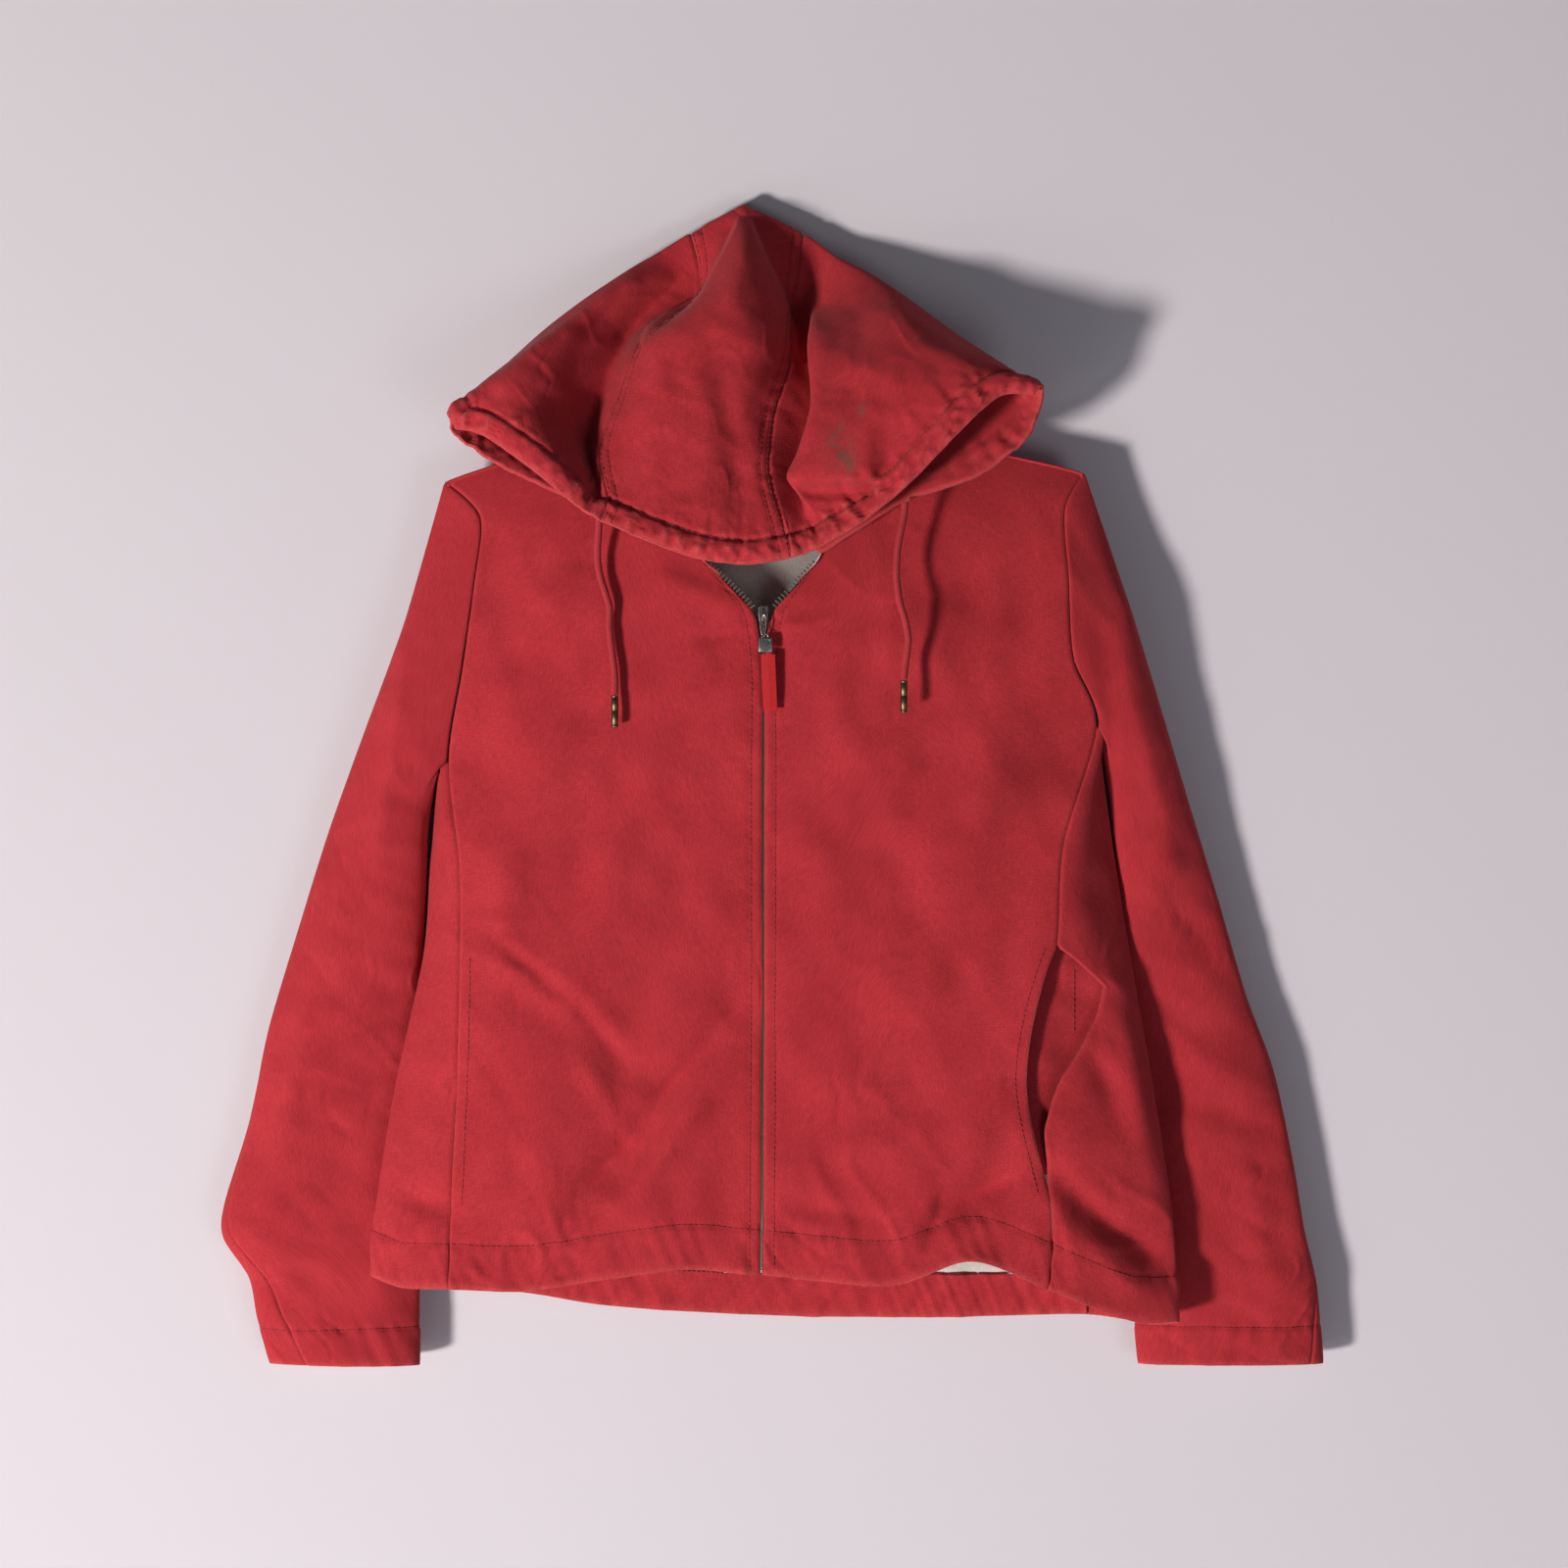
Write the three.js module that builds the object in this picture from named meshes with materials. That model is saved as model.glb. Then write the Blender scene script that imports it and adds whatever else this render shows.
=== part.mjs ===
// Zip hoodie hanging by the crown of its hood from a small wall hook.
// Millimetres. +Z is up, the wall is the plane y = 0, and the garment hangs in front of it at negative y.
// The origin is on the back face of the hook's wall plate, 2 mm below its top edge.
// Points on the cloth are written [x, z, d]: x to the right, z up, d the distance out from the wall.
import * as THREE from "three";

// ---- sizes ----
const CLOTH = 1.6; // canvas with its lining laid against it
const HEM_CLOTH = 2.4; // turned-up hem, twice as thick
const LINING = 1.2;
const SEAM = 0.3; // space left between two pieces at a seam
const CASING = 5.0; // gathered tunnel round the face opening
const CASING_ROW = 1.0; // the tunnel is the first row of the hood's net
const HEM_TURN = 31; // depth of the hem turn-up
const CUFF_TURN = 27;
const CORD_R = 2.5;
const AGLET_R = 2.4;
const AGLET_LONG = 22;
const TAPE_WIDE = 10;
const TAPE_THICK = 1.0;
const PLATE = [12, 3, 14]; // hook's wall plate
const ARM_R = 2;

// ---- materials ----
const canvas = new THREE.MeshStandardMaterial({ color: 0x9c2b30, roughness: 0.9, metalness: 0, name: "canvas" });
const jersey = new THREE.MeshStandardMaterial({ color: 0xb9b7b6, roughness: 0.95, metalness: 0, name: "jersey" });
const braid = new THREE.MeshStandardMaterial({ color: 0xa52228, roughness: 0.85, metalness: 0, name: "braid" });
const tapeRed = new THREE.MeshStandardMaterial({ color: 0x86252a, roughness: 0.9, metalness: 0, name: "zip_tape" });
const rubber = new THREE.MeshStandardMaterial({ color: 0xc3141c, roughness: 0.6, metalness: 0, name: "tab" });
const antique = new THREE.MeshStandardMaterial({ color: 0x6d5a3c, roughness: 0.45, metalness: 1, name: "antique_brass" });
const nickel = new THREE.MeshStandardMaterial({ color: 0xb8b8b6, roughness: 0.3, metalness: 1, name: "nickel" });
const steel = new THREE.MeshStandardMaterial({ color: 0x8d8f92, roughness: 0.4, metalness: 1, name: "hook_steel" });

const group = new THREE.Group();
group.name = "zip_hoodie_on_wall_hook";

function add(name, geometry, material) {
  const mesh = new THREE.Mesh(geometry, material);
  mesh.name = name;
  group.add(mesh);
}

// ---- smooth curves and nets ----
function cardinal(a, b, c, d, f) {
  const s = 0.42;
  const f2 = f * f;
  const f3 = f2 * f;
  return (
    b * (2 * f3 - 3 * f2 + 1) +
    c * (3 * f2 - 2 * f3) +
    (c - a) * s * (f3 - 2 * f2 + f) +
    (d - b) * s * (f3 - f2)
  );
}

function at(list, t) {
  const last = list.length - 1;
  const i = Math.max(0, Math.min(last - 1, Math.floor(t)));
  const f = t - i;
  const a = list[Math.max(0, i - 1)];
  const b = list[i];
  const c = list[i + 1];
  const d = list[Math.min(last, i + 2)];
  return [0, 1, 2].map((k) => cardinal(a[k], b[k], c[k], d[k], f));
}

function net(columns) {
  return (c, r) => at(columns.map((column) => at(column, r)), c);
}

function space(p) {
  return new THREE.Vector3(p[0], -p[2], p[1]);
}

// Outward normal of a surface at (a, b), taken over a short span each way so that it is steady at the folds.
function normalOf(surface, a, b, side) {
  if (surface === body && b < 0.35 && Math.abs(a - C.middle) < 9.05) {
    // both sides of a shoulder seam share an upward normal there, so their walls meet in a mitre
    const plain = normalAt(surface, a, b, side);
    return plain.lerp(new THREE.Vector3(0, 0, 1.3), 1 - b / 0.35);
  }
  return normalAt(surface, a, b, side);
}

function normalAt(surface, a, b, side) {
  const e = 0.12;
  const du = space(surface(a + e, b)).sub(space(surface(a - e, b)));
  const dv = space(surface(a, b + e)).sub(space(surface(a, b - e)));
  return du.cross(dv).normalize().multiplyScalar(side);
}

// A cloth wall: the outer face is sampled from the surface, the inner face lies one thickness inside it.
function wall(surface, map, nu, nv, thick, side, lift = 0) {
  const points = [];
  const inner = [];
  for (let j = 0; j <= nv; j++)
    for (let i = 0; i <= nu; i++) {
      const u = i / nu;
      const v = j / nv;
      const [a, b] = map(u, v);
      const n = normalOf(surface, a, b, side);
      const p = space(surface(a, b)).addScaledVector(n, lift);
      const t = typeof thick === "function" ? thick(u, v, a, b) : thick;
      points.push(p);
      inner.push(p.clone().addScaledVector(n, -t));
    }
  return closeWall(points, inner, nu, nv);
}

function closeWall(outer, inner, nu, nv) {
  const all = [...outer, ...inner];
  const flat = [];
  for (const p of all) flat.push(p.x, p.y, p.z);
  const half = outer.length;
  const id = (i, j) => j * (nu + 1) + i;
  const index = [];
  const quad = (a, b, c, d) => index.push(a, b, c, a, c, d);
  for (let j = 0; j < nv; j++)
    for (let i = 0; i < nu; i++) {
      quad(id(i, j), id(i + 1, j), id(i + 1, j + 1), id(i, j + 1));
      quad(half + id(i, j), half + id(i, j + 1), half + id(i + 1, j + 1), half + id(i + 1, j));
    }
  const edge = (a, b) => quad(a, half + a, half + b, b);
  for (let i = 0; i < nu; i++) {
    edge(id(i, 0), id(i + 1, 0));
    edge(id(i + 1, nv), id(i, nv));
  }
  for (let j = 0; j < nv; j++) {
    edge(id(0, j + 1), id(0, j));
    edge(id(nu, j), id(nu, j + 1));
  }
  let volume = 0;
  for (let k = 0; k < index.length; k += 3) {
    const [a, b, c] = [all[index[k]], all[index[k + 1]], all[index[k + 2]]];
    volume += a.dot(b.clone().cross(c)) / 6;
  }
  if (volume < 0) for (let k = 0; k < index.length; k += 3) [index[k + 1], index[k + 2]] = [index[k + 2], index[k + 1]];
  const g = new THREE.BufferGeometry();
  g.setAttribute("position", new THREE.Float32BufferAttribute(flat, 3));
  g.setIndex(index);
  g.computeVertexNormals();
  return g;
}

const mix = (a, b, f) => a + (b - a) * f;
const bump = (x, middle, half) => Math.exp(-(((x - middle) / half) ** 2));

// ---- the body: one ring of columns, each running from the neck, shoulder or armhole down to the hem ----
const R = {
  zip: [[-27, -247, 65], [-8, -264, 67], [8, -284, 68], [13, -322, 68.5], [13, -384, 70], [13, -455, 72], [13, -520, 73], [12.6, -610, 75], [12, -700, 77], [11.5, -738, 78]],
  front1: [[-60, -208, 56], [-50, -240, 63], [-44, -274, 67], [-42, -322, 69], [-40, -384, 70], [-40, -455, 72], [-40, -520, 74], [-40, -610, 77], [-40, -700, 80], [-40, -734, 81]],
  front2: [[-74, -144, 30], [-88, -198, 51], [-92, -258, 63], [-94, -320, 66], [-95, -384, 69], [-95, -455, 72], [-95, -520, 76], [-96, -610, 75], [-96, -700, 80], [-96, -741, 82]],
  front3: [[-140, -165, 33], [-138, -205, 48], [-142, -262, 58], [-146, -320, 61], [-150, -384, 64], [-150, -455, 70], [-150, -520, 74], [-150, -610, 79], [-152, -700, 79], [-152, -749, 80]],
  princess: [[-208, -188, 34], [-183, -214, 44], [-187, -262, 50], [-195, -320, 50], [-205, -384, 48], [-197, -455, 60], [-196, -520, 66], [-198, -610, 70], [-202, -700, 73], [-203, -748, 75]],
  side1: [[-210, -200, 34], [-196, -222, 44], [-198, -268, 50], [-205, -324, 48], [-211, -390, 44], [-208, -455, 52], [-210, -520, 56], [-222, -610, 62], [-232, -700, 66], [-236, -748, 68]],
  fold: [[-212, -215, 30], [-206, -236, 34], [-207, -280, 36], [-210, -330, 36], [-214, -398, 33], [-218, -455, 36], [-223, -520, 40], [-242, -610, 46], [-256, -700, 52], [-258, -741, 56]],
  side2: [[-208, -200, 24], [-200, -225, 24], [-200, -275, 22], [-204, -330, 20], [-210, -400, 19], [-218, -455, 13], [-218, -520, 19], [-229, -612, 33], [-239, -702, 41], [-243, -747, 45]],
  backSeam: [[-208, -188, 34], [-192, -214, 24], [-190, -262, 16], [-194, -325, 12], [-199, -394, 9], [-197, -455, 8], [-197, -520, 8], [-201, -612, 12], [-206, -702, 17], [-208, -752, 20]],
  back3: [[-140, -165, 33], [-142, -205, 18], [-145, -262, 10], [-148, -320, 8], [-150, -388, 7], [-150, -455, 7], [-150, -520, 7], [-152, -612, 8], [-152, -702, 10], [-152, -758, 12]],
  back2: [[-74, -144, 30], [-84, -196, 14], [-88, -256, 8], [-90, -320, 7], [-90, -388, 7], [-90, -455, 7], [-90, -520, 7], [-90, -612, 8], [-90, -702, 10], [-92, -767, 12]],
};
const middleBack = [[4, -139, 15], [4, -186, 11], [5, -252, 8], [6, -320, 7], [8, -388, 6], [10, -455, 6], [10, -520, 6], [12, -612, 8], [14, -702, 10], [16, -774, 12]];
const L = {
  back2: [[84, -142, 30], [92, -194, 14], [98, -256, 8], [102, -320, 7], [106, -388, 7], [108, -455, 7], [110, -520, 7], [112, -612, 8], [114, -702, 10], [116, -775, 12]],
  back3: [[160, -163, 33], [160, -203, 18], [162, -262, 10], [166, -320, 8], [170, -384, 7], [170, -455, 7], [172, -520, 7], [174, -612, 8], [176, -702, 10], [178, -774, 12]],
  backSeam: [[238, -182, 34], [228, -208, 24], [226, -258, 16], [230, -320, 12], [234, -382, 9], [231, -455, 8], [231, -520, 9], [235, -612, 13], [240, -702, 18], [244, -772, 22]],
  side2: [[240, -200, 24], [232, -225, 24], [232, -275, 22], [238, -330, 20], [246, -386, 20], [251, -455, 24], [256, -520, 30], [268, -612, 38], [280, -702, 45], [285, -775, 49]],
  fold: [[242, -215, 30], [238, -236, 34], [238, -280, 36], [243, -330, 36], [250, -382, 34], [260, -455, 38], [270, -520, 43], [285, -610, 51], [298, -700, 57], [302, -772, 62]],
  side1: [[240, -200, 34], [230, -222, 44], [232, -268, 50], [239, -324, 48], [249, -372, 43], [244, -450, 54], [248, -520, 62], [258, -610, 68], [266, -700, 70], [268, -770, 76]],
  princess: [[238, -182, 34], [224, -208, 46], [226, -255, 54], [229, -312, 58], [246, -360, 50], [222, -440, 66], [217, -512, 72], [204, -610, 78], [213, -700, 82], [210, -747, 85]],
  front3: [[160, -163, 33], [160, -203, 48], [162, -262, 60], [165, -320, 65], [168, -384, 67], [165, -455, 71], [162, -520, 75], [158, -610, 79], [158, -700, 83], [158, -727, 90]],
  front2: [[84, -142, 30], [96, -196, 51], [104, -258, 64], [108, -320, 68], [110, -384, 70], [110, -455, 73], [110, -520, 76], [108, -610, 78], [106, -700, 83], [106, -744, 88]],
  front1: [[72, -206, 56], [68, -240, 63], [66, -274, 68], [64, -322, 69], [62, -384, 71], [62, -455, 73], [62, -520, 75], [60, -610, 77], [58, -700, 80], [58, -742, 84]],
  zip: [[52, -247, 65], [36, -264, 67], [20.5, -284, 68], [15.6, -322, 68.5], [15.6, -384, 70], [15.4, -455, 72], [15.2, -520, 73], [15, -610, 75], [14.6, -700, 77], [14.4, -738, 78]],
};
const ring = [
  R.zip, R.front1, R.front2, R.front3, R.princess, R.side1, R.fold, R.side2, R.backSeam, R.back3, R.back2,
  middleBack,
  L.back2, L.back3, L.backSeam, L.side2, L.fold, L.side1, L.princess, L.front3, L.front2, L.front1, L.zip,
];
const C = { rPrincess: 4, rFold: 6, rBack: 8, middle: 11, lBack: 14, lFold: 16, lPrincess: 18, last: 22 };
const bodyNet = net(ring);

// Soft creases pressed into the body: [x1, z1, x2, z2, half width, height]
const creases = [
  [-172, -510, -90, -578, 16, 5],
  [-150, -545, -70, -600, 14, -4],
  [0, -560, -112, -690, 18, -6],
  [-20, -600, -100, -715, 14, 4],
  [-150, -349, -40, -352, 12, -2],
  [205, -668, 130, -700, 13, -5],
  [190, -640, 110, -690, 14, 4],
  [222, -672, 296, -734, 13, -7],
  [215, -690, 280, -756, 13, 4],
  [-232, -684, -205, -694, 8, -4],
  [-52, -258, 0, -280, 9, 3],
  [90, -280, 200, -245, 16, -3],
  [-90, -250, -170, -300, 18, 3],
  [180, -400, 120, -470, 22, 3],
];

function crease(x, z) {
  let sum = 0;
  for (const [x1, z1, x2, z2, half, height] of creases) {
    const dx = x2 - x1;
    const dz = z2 - z1;
    const along = ((x - x1) * dx + (z - z1) * dz) / (dx * dx + dz * dz);
    const f = Math.max(0, Math.min(1, along));
    const away = Math.hypot(x - x1 - f * dx, z - z1 - f * dz);
    sum += height * Math.exp(-((away / half) ** 2));
  }
  return sum;
}

function body(c, r) {
  const p = bodyNet(c, r);
  if (c < C.rBack - 1.2 || c > C.lBack + 1.2) {
    const near = c < C.middle ? Math.min(1, (C.rFold + 0.8 - c) / 1.5) : Math.min(1, (c - C.lFold + 0.8) / 1.5);
    if (near > 0) p[2] += crease(p[0], p[1]) * Math.min(1, near);
  } else {
    p[2] += 2.2 * Math.sin(p[0] / 38 + p[1] / 90) * Math.min(1, Math.max(0, (r - 1) / 2));
  }
  return p;
}

const hemRow = 8.42; // row at which the turn-up starts
const topRows = (v) => (v < 0.4 ? mix(0.07, 4, v / 0.4) : mix(4, 9, (v - 0.4) / 0.6));
const hemThick = (u, v, a, b) => (b > hemRow ? HEM_CLOTH : CLOTH);
const gap = 0.006;

add("front_right", wall(body, (u, v) => [mix(0, C.rPrincess - gap, u), topRows(v)], 12, 15, hemThick, 1), canvas);

// The side-front seam of the left front is pulled open into the pocket.
const pocketTop = 6.0;
const pocketEnd = 7.72;
function pocketPull(r, peak, sharp) {
  if (r <= pocketTop || r >= pocketEnd) return 0;
  const f = (r - pocketTop) / (pocketEnd - pocketTop);
  return Math.pow(Math.sin(Math.PI * Math.pow(f, peak)), sharp);
}
const frontPull = (r) => 0.2 * pocketPull(r, 0.8, 1);
const sidePull = (r) => 1.02 * pocketPull(r, 0.45, 1.4) * (1 - 0.35 * (r - pocketTop));
add(
  "front_left",
  wall(body, (u, v) => [mix(C.lPrincess + gap + frontPull(topRows(v)), C.last, u), topRows(v)], 12, 15, hemThick, 1),
  canvas,
);
const sideRows = (v) => mix(4, 9, v);
add(
  "side_right",
  wall(body, (u, v) => [mix(C.rPrincess + gap * 2, C.rBack - gap * 2, u), sideRows(v)], 8, 9, hemThick, 1),
  canvas,
);
add(
  "side_left",
  wall(
    body,
    (u, v) => [mix(C.lBack + gap * 2, C.lPrincess - gap * 2 - sidePull(sideRows(v)), u), sideRows(v)],
    8, 9, hemThick, 1,
  ),
  canvas,
);
add("back", wall(body, (u, v) => [mix(C.rBack + gap, C.lBack - gap, u), Math.max(0.12, topRows(v))], 16, 15, CLOTH, 1), canvas);

// ---- what shows of the inside, laid on the back's inner face ----
// The loose lining bags forward behind the open neck.
function liningForm(c, r) {
  const p = body(c, r);
  return [p[0], p[1], p[2] + 30 * bump(p[0], 14, 62) * bump(p[1], -262, 42)];
}
add(
  "lining_back",
  wall(liningForm, (u, v) => [mix(C.rBack + 0.35, C.lBack - 0.35, u), mix(1.2, 8.52, v)], 12, 12, LINING, 1, -CLOTH - 1.2),
  jersey,
);
add(
  "hem_facing_back",
  wall(body, (u, v) => [mix(C.rBack + 0.3, C.lBack - 0.3, u), mix(8.56, 8.98, v)], 16, 2, LINING, 1, -CLOTH - 1.2),
  canvas,
);

// Facing inside the gaping left pocket.
const facing = net([
  [[190, -508, 66], [186, -545, 67], [186, -575, 69], [188, -620, 71], [196, -672, 76]],
  [[206, -508, 67], [210, -545, 63], [208, -575, 65], [203, -620, 69], [203, -672, 75]],
  [[219, -508, 64], [248, -545, 54], [233, -575, 57], [214, -620, 64], [208, -672, 73]],
]);
add("pocket_facing_left", wall(facing, (u, v) => [u * 2, v * 3.8], 5, 10, LINING, -1), canvas);

// ---- sleeves: rings from the armhole to the cuff ----
// Each ring: outer edge [x, z], inner edge [x, z], middle distance from the wall, half depth
const rightRings = [
  [[-238, -290], [-220, -432], 31, 20],
  [[-264, -360], [-222, -478], 28, 20],
  [[-290, -432], [-225, -524], 26, 19],
  [[-313, -505], [-227, -570], 24, 18],
  [[-333, -572], [-227, -615], 23, 17],
  [[-347, -638], [-227, -660], 22, 17],
  [[-364, -694], [-227, -704], 22, 17],
  [[-365, -718], [-227, -728], 21, 17],
  [[-347, -746], [-227, -752], 21, 16],
  [[-341, -775], [-227, -777], 21, 16],
  [[-332, -806], [-227, -807], 21, 15],
];
const leftRings = [
  [[268, -268], [256, -412], 31, 20],
  [[290, -338], [260, -456], 27, 19],
  [[311, -408], [262, -504], 24, 18],
  [[333, -480], [263, -556], 22, 17],
  [[353, -548], [265, -604], 21, 16],
  [[372, -600], [267, -646], 21, 16],
  [[385, -660], [269, -690], 21, 16],
  [[394, -712], [271, -728], 21, 16],
  [[402, -748], [273, -757], 21, 16],
  [[405, -777], [275, -782], 21, 15],
  [[407, -806], [277, -806], 21, 15],
];

function armhole(front, under, back, f) {
  // f runs 0 at the shoulder point, down the front, 0.5 at the underarm, up the back to 1
  if (f < 0.36) return body(front, (f / 0.36) * 4);
  if (f < 0.5) return body(mix(front, under, (f - 0.36) / 0.14), 4);
  if (f < 0.64) return body(mix(under, back, (f - 0.5) / 0.14), 4);
  return body(back, ((1 - f) / 0.36) * 4);
}

function sleeve(rings, front, under, back, sign) {
  return (f, v) => {
    const angle = f * 2 * Math.PI;
    const column = [armhole(front, under, back, ((f % 1) + 1) % 1)];
    column[0] = [column[0][0] + sign * 3.3, column[0][1] - 0.3, column[0][2]];
    for (const [outer, inner, middle, deep] of rings) {
      const cs = Math.cos(angle);
      const sn = Math.sin(angle);
      const flat = Math.sign(sn) * Math.pow(Math.abs(sn), 0.85);
      column.push([
        mix(inner[0], outer[0], (1 + cs) / 2),
        mix(inner[1], outer[1], (1 + cs) / 2),
        middle + deep * flat,
      ]);
    }
    const p = at(column, v);
    const fade = Math.min(1, v / 3) * Math.min(1, (11 - v) / 2 + 0.3);
    p[2] += (Math.sin(angle) > 0 ? 1 : 0.5) * 1.6 * Math.sin(p[0] / 17 - p[1] / 46) * fade * Math.abs(Math.sin(angle));
    return p;
  };
}

const rightSleeve = sleeve(rightRings, C.rPrincess, C.rFold, C.rBack, -1);
const leftSleeve = sleeve(leftRings, C.lPrincess, C.lFold, C.lBack, 1);
// The elbow seam comes round from the back to the front towards the cuff; the other seam stays at the inner arm.
const rightSeam = (v) => mix(-0.06, 0.17, Math.min(1, Math.max(0, (v - 3.4) / 7.6)));
const leftSeam = (v) => mix(-0.06, 0.09, Math.min(1, Math.max(0, (v - 5.5) / 5.5)));
const cuffThick = (u, v, a, b) => (b > 10 ? HEM_CLOTH : CLOTH);
const sleeveGap = 0.0012;

for (const [name, surface, seam, side] of [
  ["right", rightSleeve, rightSeam, -1],
  ["left", leftSleeve, leftSeam, 1],
]) {
  add(
    "sleeve_" + name + "_upper",
    wall(surface, (u, v) => [mix(seam(v * 11) + sleeveGap, 0.52 - sleeveGap, u), v * 11], 8, 12, cuffThick, side),
    canvas,
  );
  add(
    "sleeve_" + name + "_under",
    wall(surface, (u, v) => [mix(0.52 + sleeveGap, 1 + seam(v * 11) - sleeveGap, u), v * 11], 7, 12, cuffThick, side),
    canvas,
  );
}

// ---- hood: one net from the right tip across the centre strip to the left tip ----
// Rows: lip edge, top of the gathered tunnel, lower face, middle, upper, below the fold, top fold, behind it, back, neck seam or hidden rim
const hoodColumns = [
  [[-196, -156, 86], [-199, -152, 88], [-201, -148, 87], [-202, -146, 85], [-203, -145, 83], [-203, -146, 80], [-202, -149, 78], [-201, -153, 77], [-200, -157, 76], [-197, -161, 77]],
  [[-178, -161, 92], [-177, -147, 94], [-180, -134, 90], [-177, -125, 85], [-174, -119, 77], [-172, -116, 65], [-172, -117, 58], [-172, -124, 55], [-170, -150, 58], [-166, -182, 74]],
  [[-156, -176, 98], [-152, -160, 99], [-160, -134, 93], [-153, -114, 87], [-145, -99, 76], [-140, -89, 56], [-140, -85, 46], [-140, -92, 38], [-137, -140, 46], [-106, -210, 71]],
  [[-135, -192, 101], [-130, -176, 99], [-138, -142, 86], [-131, -110, 77], [-120, -86, 65], [-110, -69, 52], [-109, -60, 38], [-108, -68, 27], [-110, -147, 46], [-26, -242.5, 66]],
  [[-117, -206, 102], [-110, -189, 92], [-121, -150, 69], [-113, -108, 57], [-98, -76, 45], [-80, -52, 42], [-80, -40, 30], [-80, -48, 21], [-87, -134, 37], [-57, -202.5, 57]],
  [[-107, -213, 102], [-101, -197, 84], [-107, -163, 54], [-98, -122, 46], [-80, -84, 33], [-48, -48, 23], [-58, -27, 22], [-60, -36, 16], [-68, -104, 22], [-73, -138.5, 29]],
  [[-97, -219, 102], [-92, -204, 94], [-99, -170, 76], [-87, -132, 69], [-71, -92, 58], [-32, -56, 26], [-37, -14, 19], [-38, -24, 13], [-42, -78, 12], [-44, -134.2, 18]],
  [[-62, -235, 103], [-58, -219, 100], [-64, -178, 92], [-58, -135, 87], [-47, -92, 76], [-23, -50, 48], [-10, 1, 17], [-16, -12, 12], [-20, -70, 11], [-22, -134.5, 16]],
  [[-30, -246, 104], [-28, -229, 102], [-30, -185, 95], [-24, -140, 90], [-14, -95, 82], [-1, -46, 60], [0, 4.4, 15], [0, -9, 20.5], [0, -70, 11], [4, -134.5, 15]],
  [[4, -250, 104], [2, -233, 102], [-5, -188, 91], [0, -145, 84], [12, -98, 74], [21, -52, 46], [11, 1, 17], [17, -12, 12], [22, -70, 11], [28, -134.5, 16]],
  [[34, -245, 104], [30, -228, 100], [19, -186, 84], [22, -145, 70], [33, -108, 54], [35, -68, 28], [42, -15, 19], [43, -26, 13], [50, -78, 12], [52, -133.5, 18]],
  [[45, -241, 104], [42, -223, 95], [42, -184, 70], [57, -143, 52], [57, -102, 38], [43, -62, 26], [58, -26, 22], [60, -38, 17], [78, -104, 26], [83, -137, 29]],
  [[54, -237, 105], [52, -219, 97], [35, -190, 98], [47, -141, 91], [45, -95, 70], [53, -62, 36], [68, -33, 28], [74, -48, 21], [96, -136, 50], [69, -201, 57]],
  [[80, -222, 106], [78, -206, 98], [70, -193, 101], [84, -145, 98], [80, -102, 81], [80, -70, 54], [88, -43, 34], [92, -58, 26], [122, -150, 62], [51, -242.5, 66]],
  [[112, -197, 107], [106, -182, 104], [112, -160, 105], [118, -128, 101], [112, -98, 87], [108, -72, 64], [113, -60, 44], [116, -72, 36], [144, -136, 52], [108, -208, 72]],
  [[148, -160, 107], [144, -147, 105], [148, -133, 105], [150, -119, 100], [147, -104, 87], [144, -93, 71], [147, -86, 52], [150, -94, 46], [168, -136, 58], [160, -190, 79]],
  [[176, -135, 98], [173, -126, 100], [175, -121, 99], [178, -117, 93], [179, -113, 84], [179, -110, 74], [181, -110, 63], [184, -116, 60], [192, -138, 64], [193, -166, 80]],
  [[200, -133, 92], [203, -129, 93], [205, -127, 92], [206, -126, 89], [207, -127, 86], [207, -130, 83], [207, -134, 81], [206, -139, 80], [204, -145, 80], [202, -150, 82]],
];
const hood = net(hoodColumns);
const H = { first: 0, leftSeam: 6, rightSeam: 10, last: 17 };

// The tunnel round the rim is thick; elsewhere the hood is a single wall.
function hoodThick(u, v, a, b) {
  const front = Math.max(0, Math.min(1, (CASING_ROW + 0.12 - b) / 0.3));
  return mix(CLOTH, CASING, Math.sin((front * Math.PI) / 2) * (b < 0.05 ? 0.5 : 1));
}
// rows crowd towards the lip and the top fold
const hoodRows = (v) => (v < 0.16 ? mix(0, 1.12, v / 0.16) : mix(1.12, 8.95, (v - 0.16) / 0.84));
const hoodGap = 0.035;
add("hood_right", wall(hood, (u, v) => [mix(H.first, H.leftSeam - hoodGap, u), hoodRows(v)], 13, 20, hoodThick, 1), canvas);
add("hood_centre", wall(hood, (u, v) => [mix(H.leftSeam + hoodGap, H.rightSeam - hoodGap, u), hoodRows(v)], 10, 20, hoodThick, 1), canvas);
add("hood_left", wall(hood, (u, v) => [mix(H.rightSeam + hoodGap, H.last, u), hoodRows(v)], 15, 20, hoodThick, 1), canvas);

// ---- zip ----
const zipX = 14.3;
function tape(name, column, sign) {
  const surface = (a, b) => {
    const p = body(column, b);
    return [p[0] + sign * a * TAPE_WIDE, p[1], p[2] - CLOTH - 1.6];
  };
  add(name, wall(surface, (u, v) => [mix(-0.09, 1, u), mix(0.1, 8.96, v)], 1, 18, TAPE_THICK, sign > 0 ? -1 : 1), tapeRed);
}
tape("zip_tape_right", 0, -1);
tape("zip_tape_left", C.last, 1);

function box(w, d, h, x, y, z) {
  return new THREE.BoxGeometry(w, d, h).translate(x, y, z);
}
add("zip_slider", box(6.4, 3.6, 12.5, zipX, -70.6, -283.5), nickel);

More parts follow.
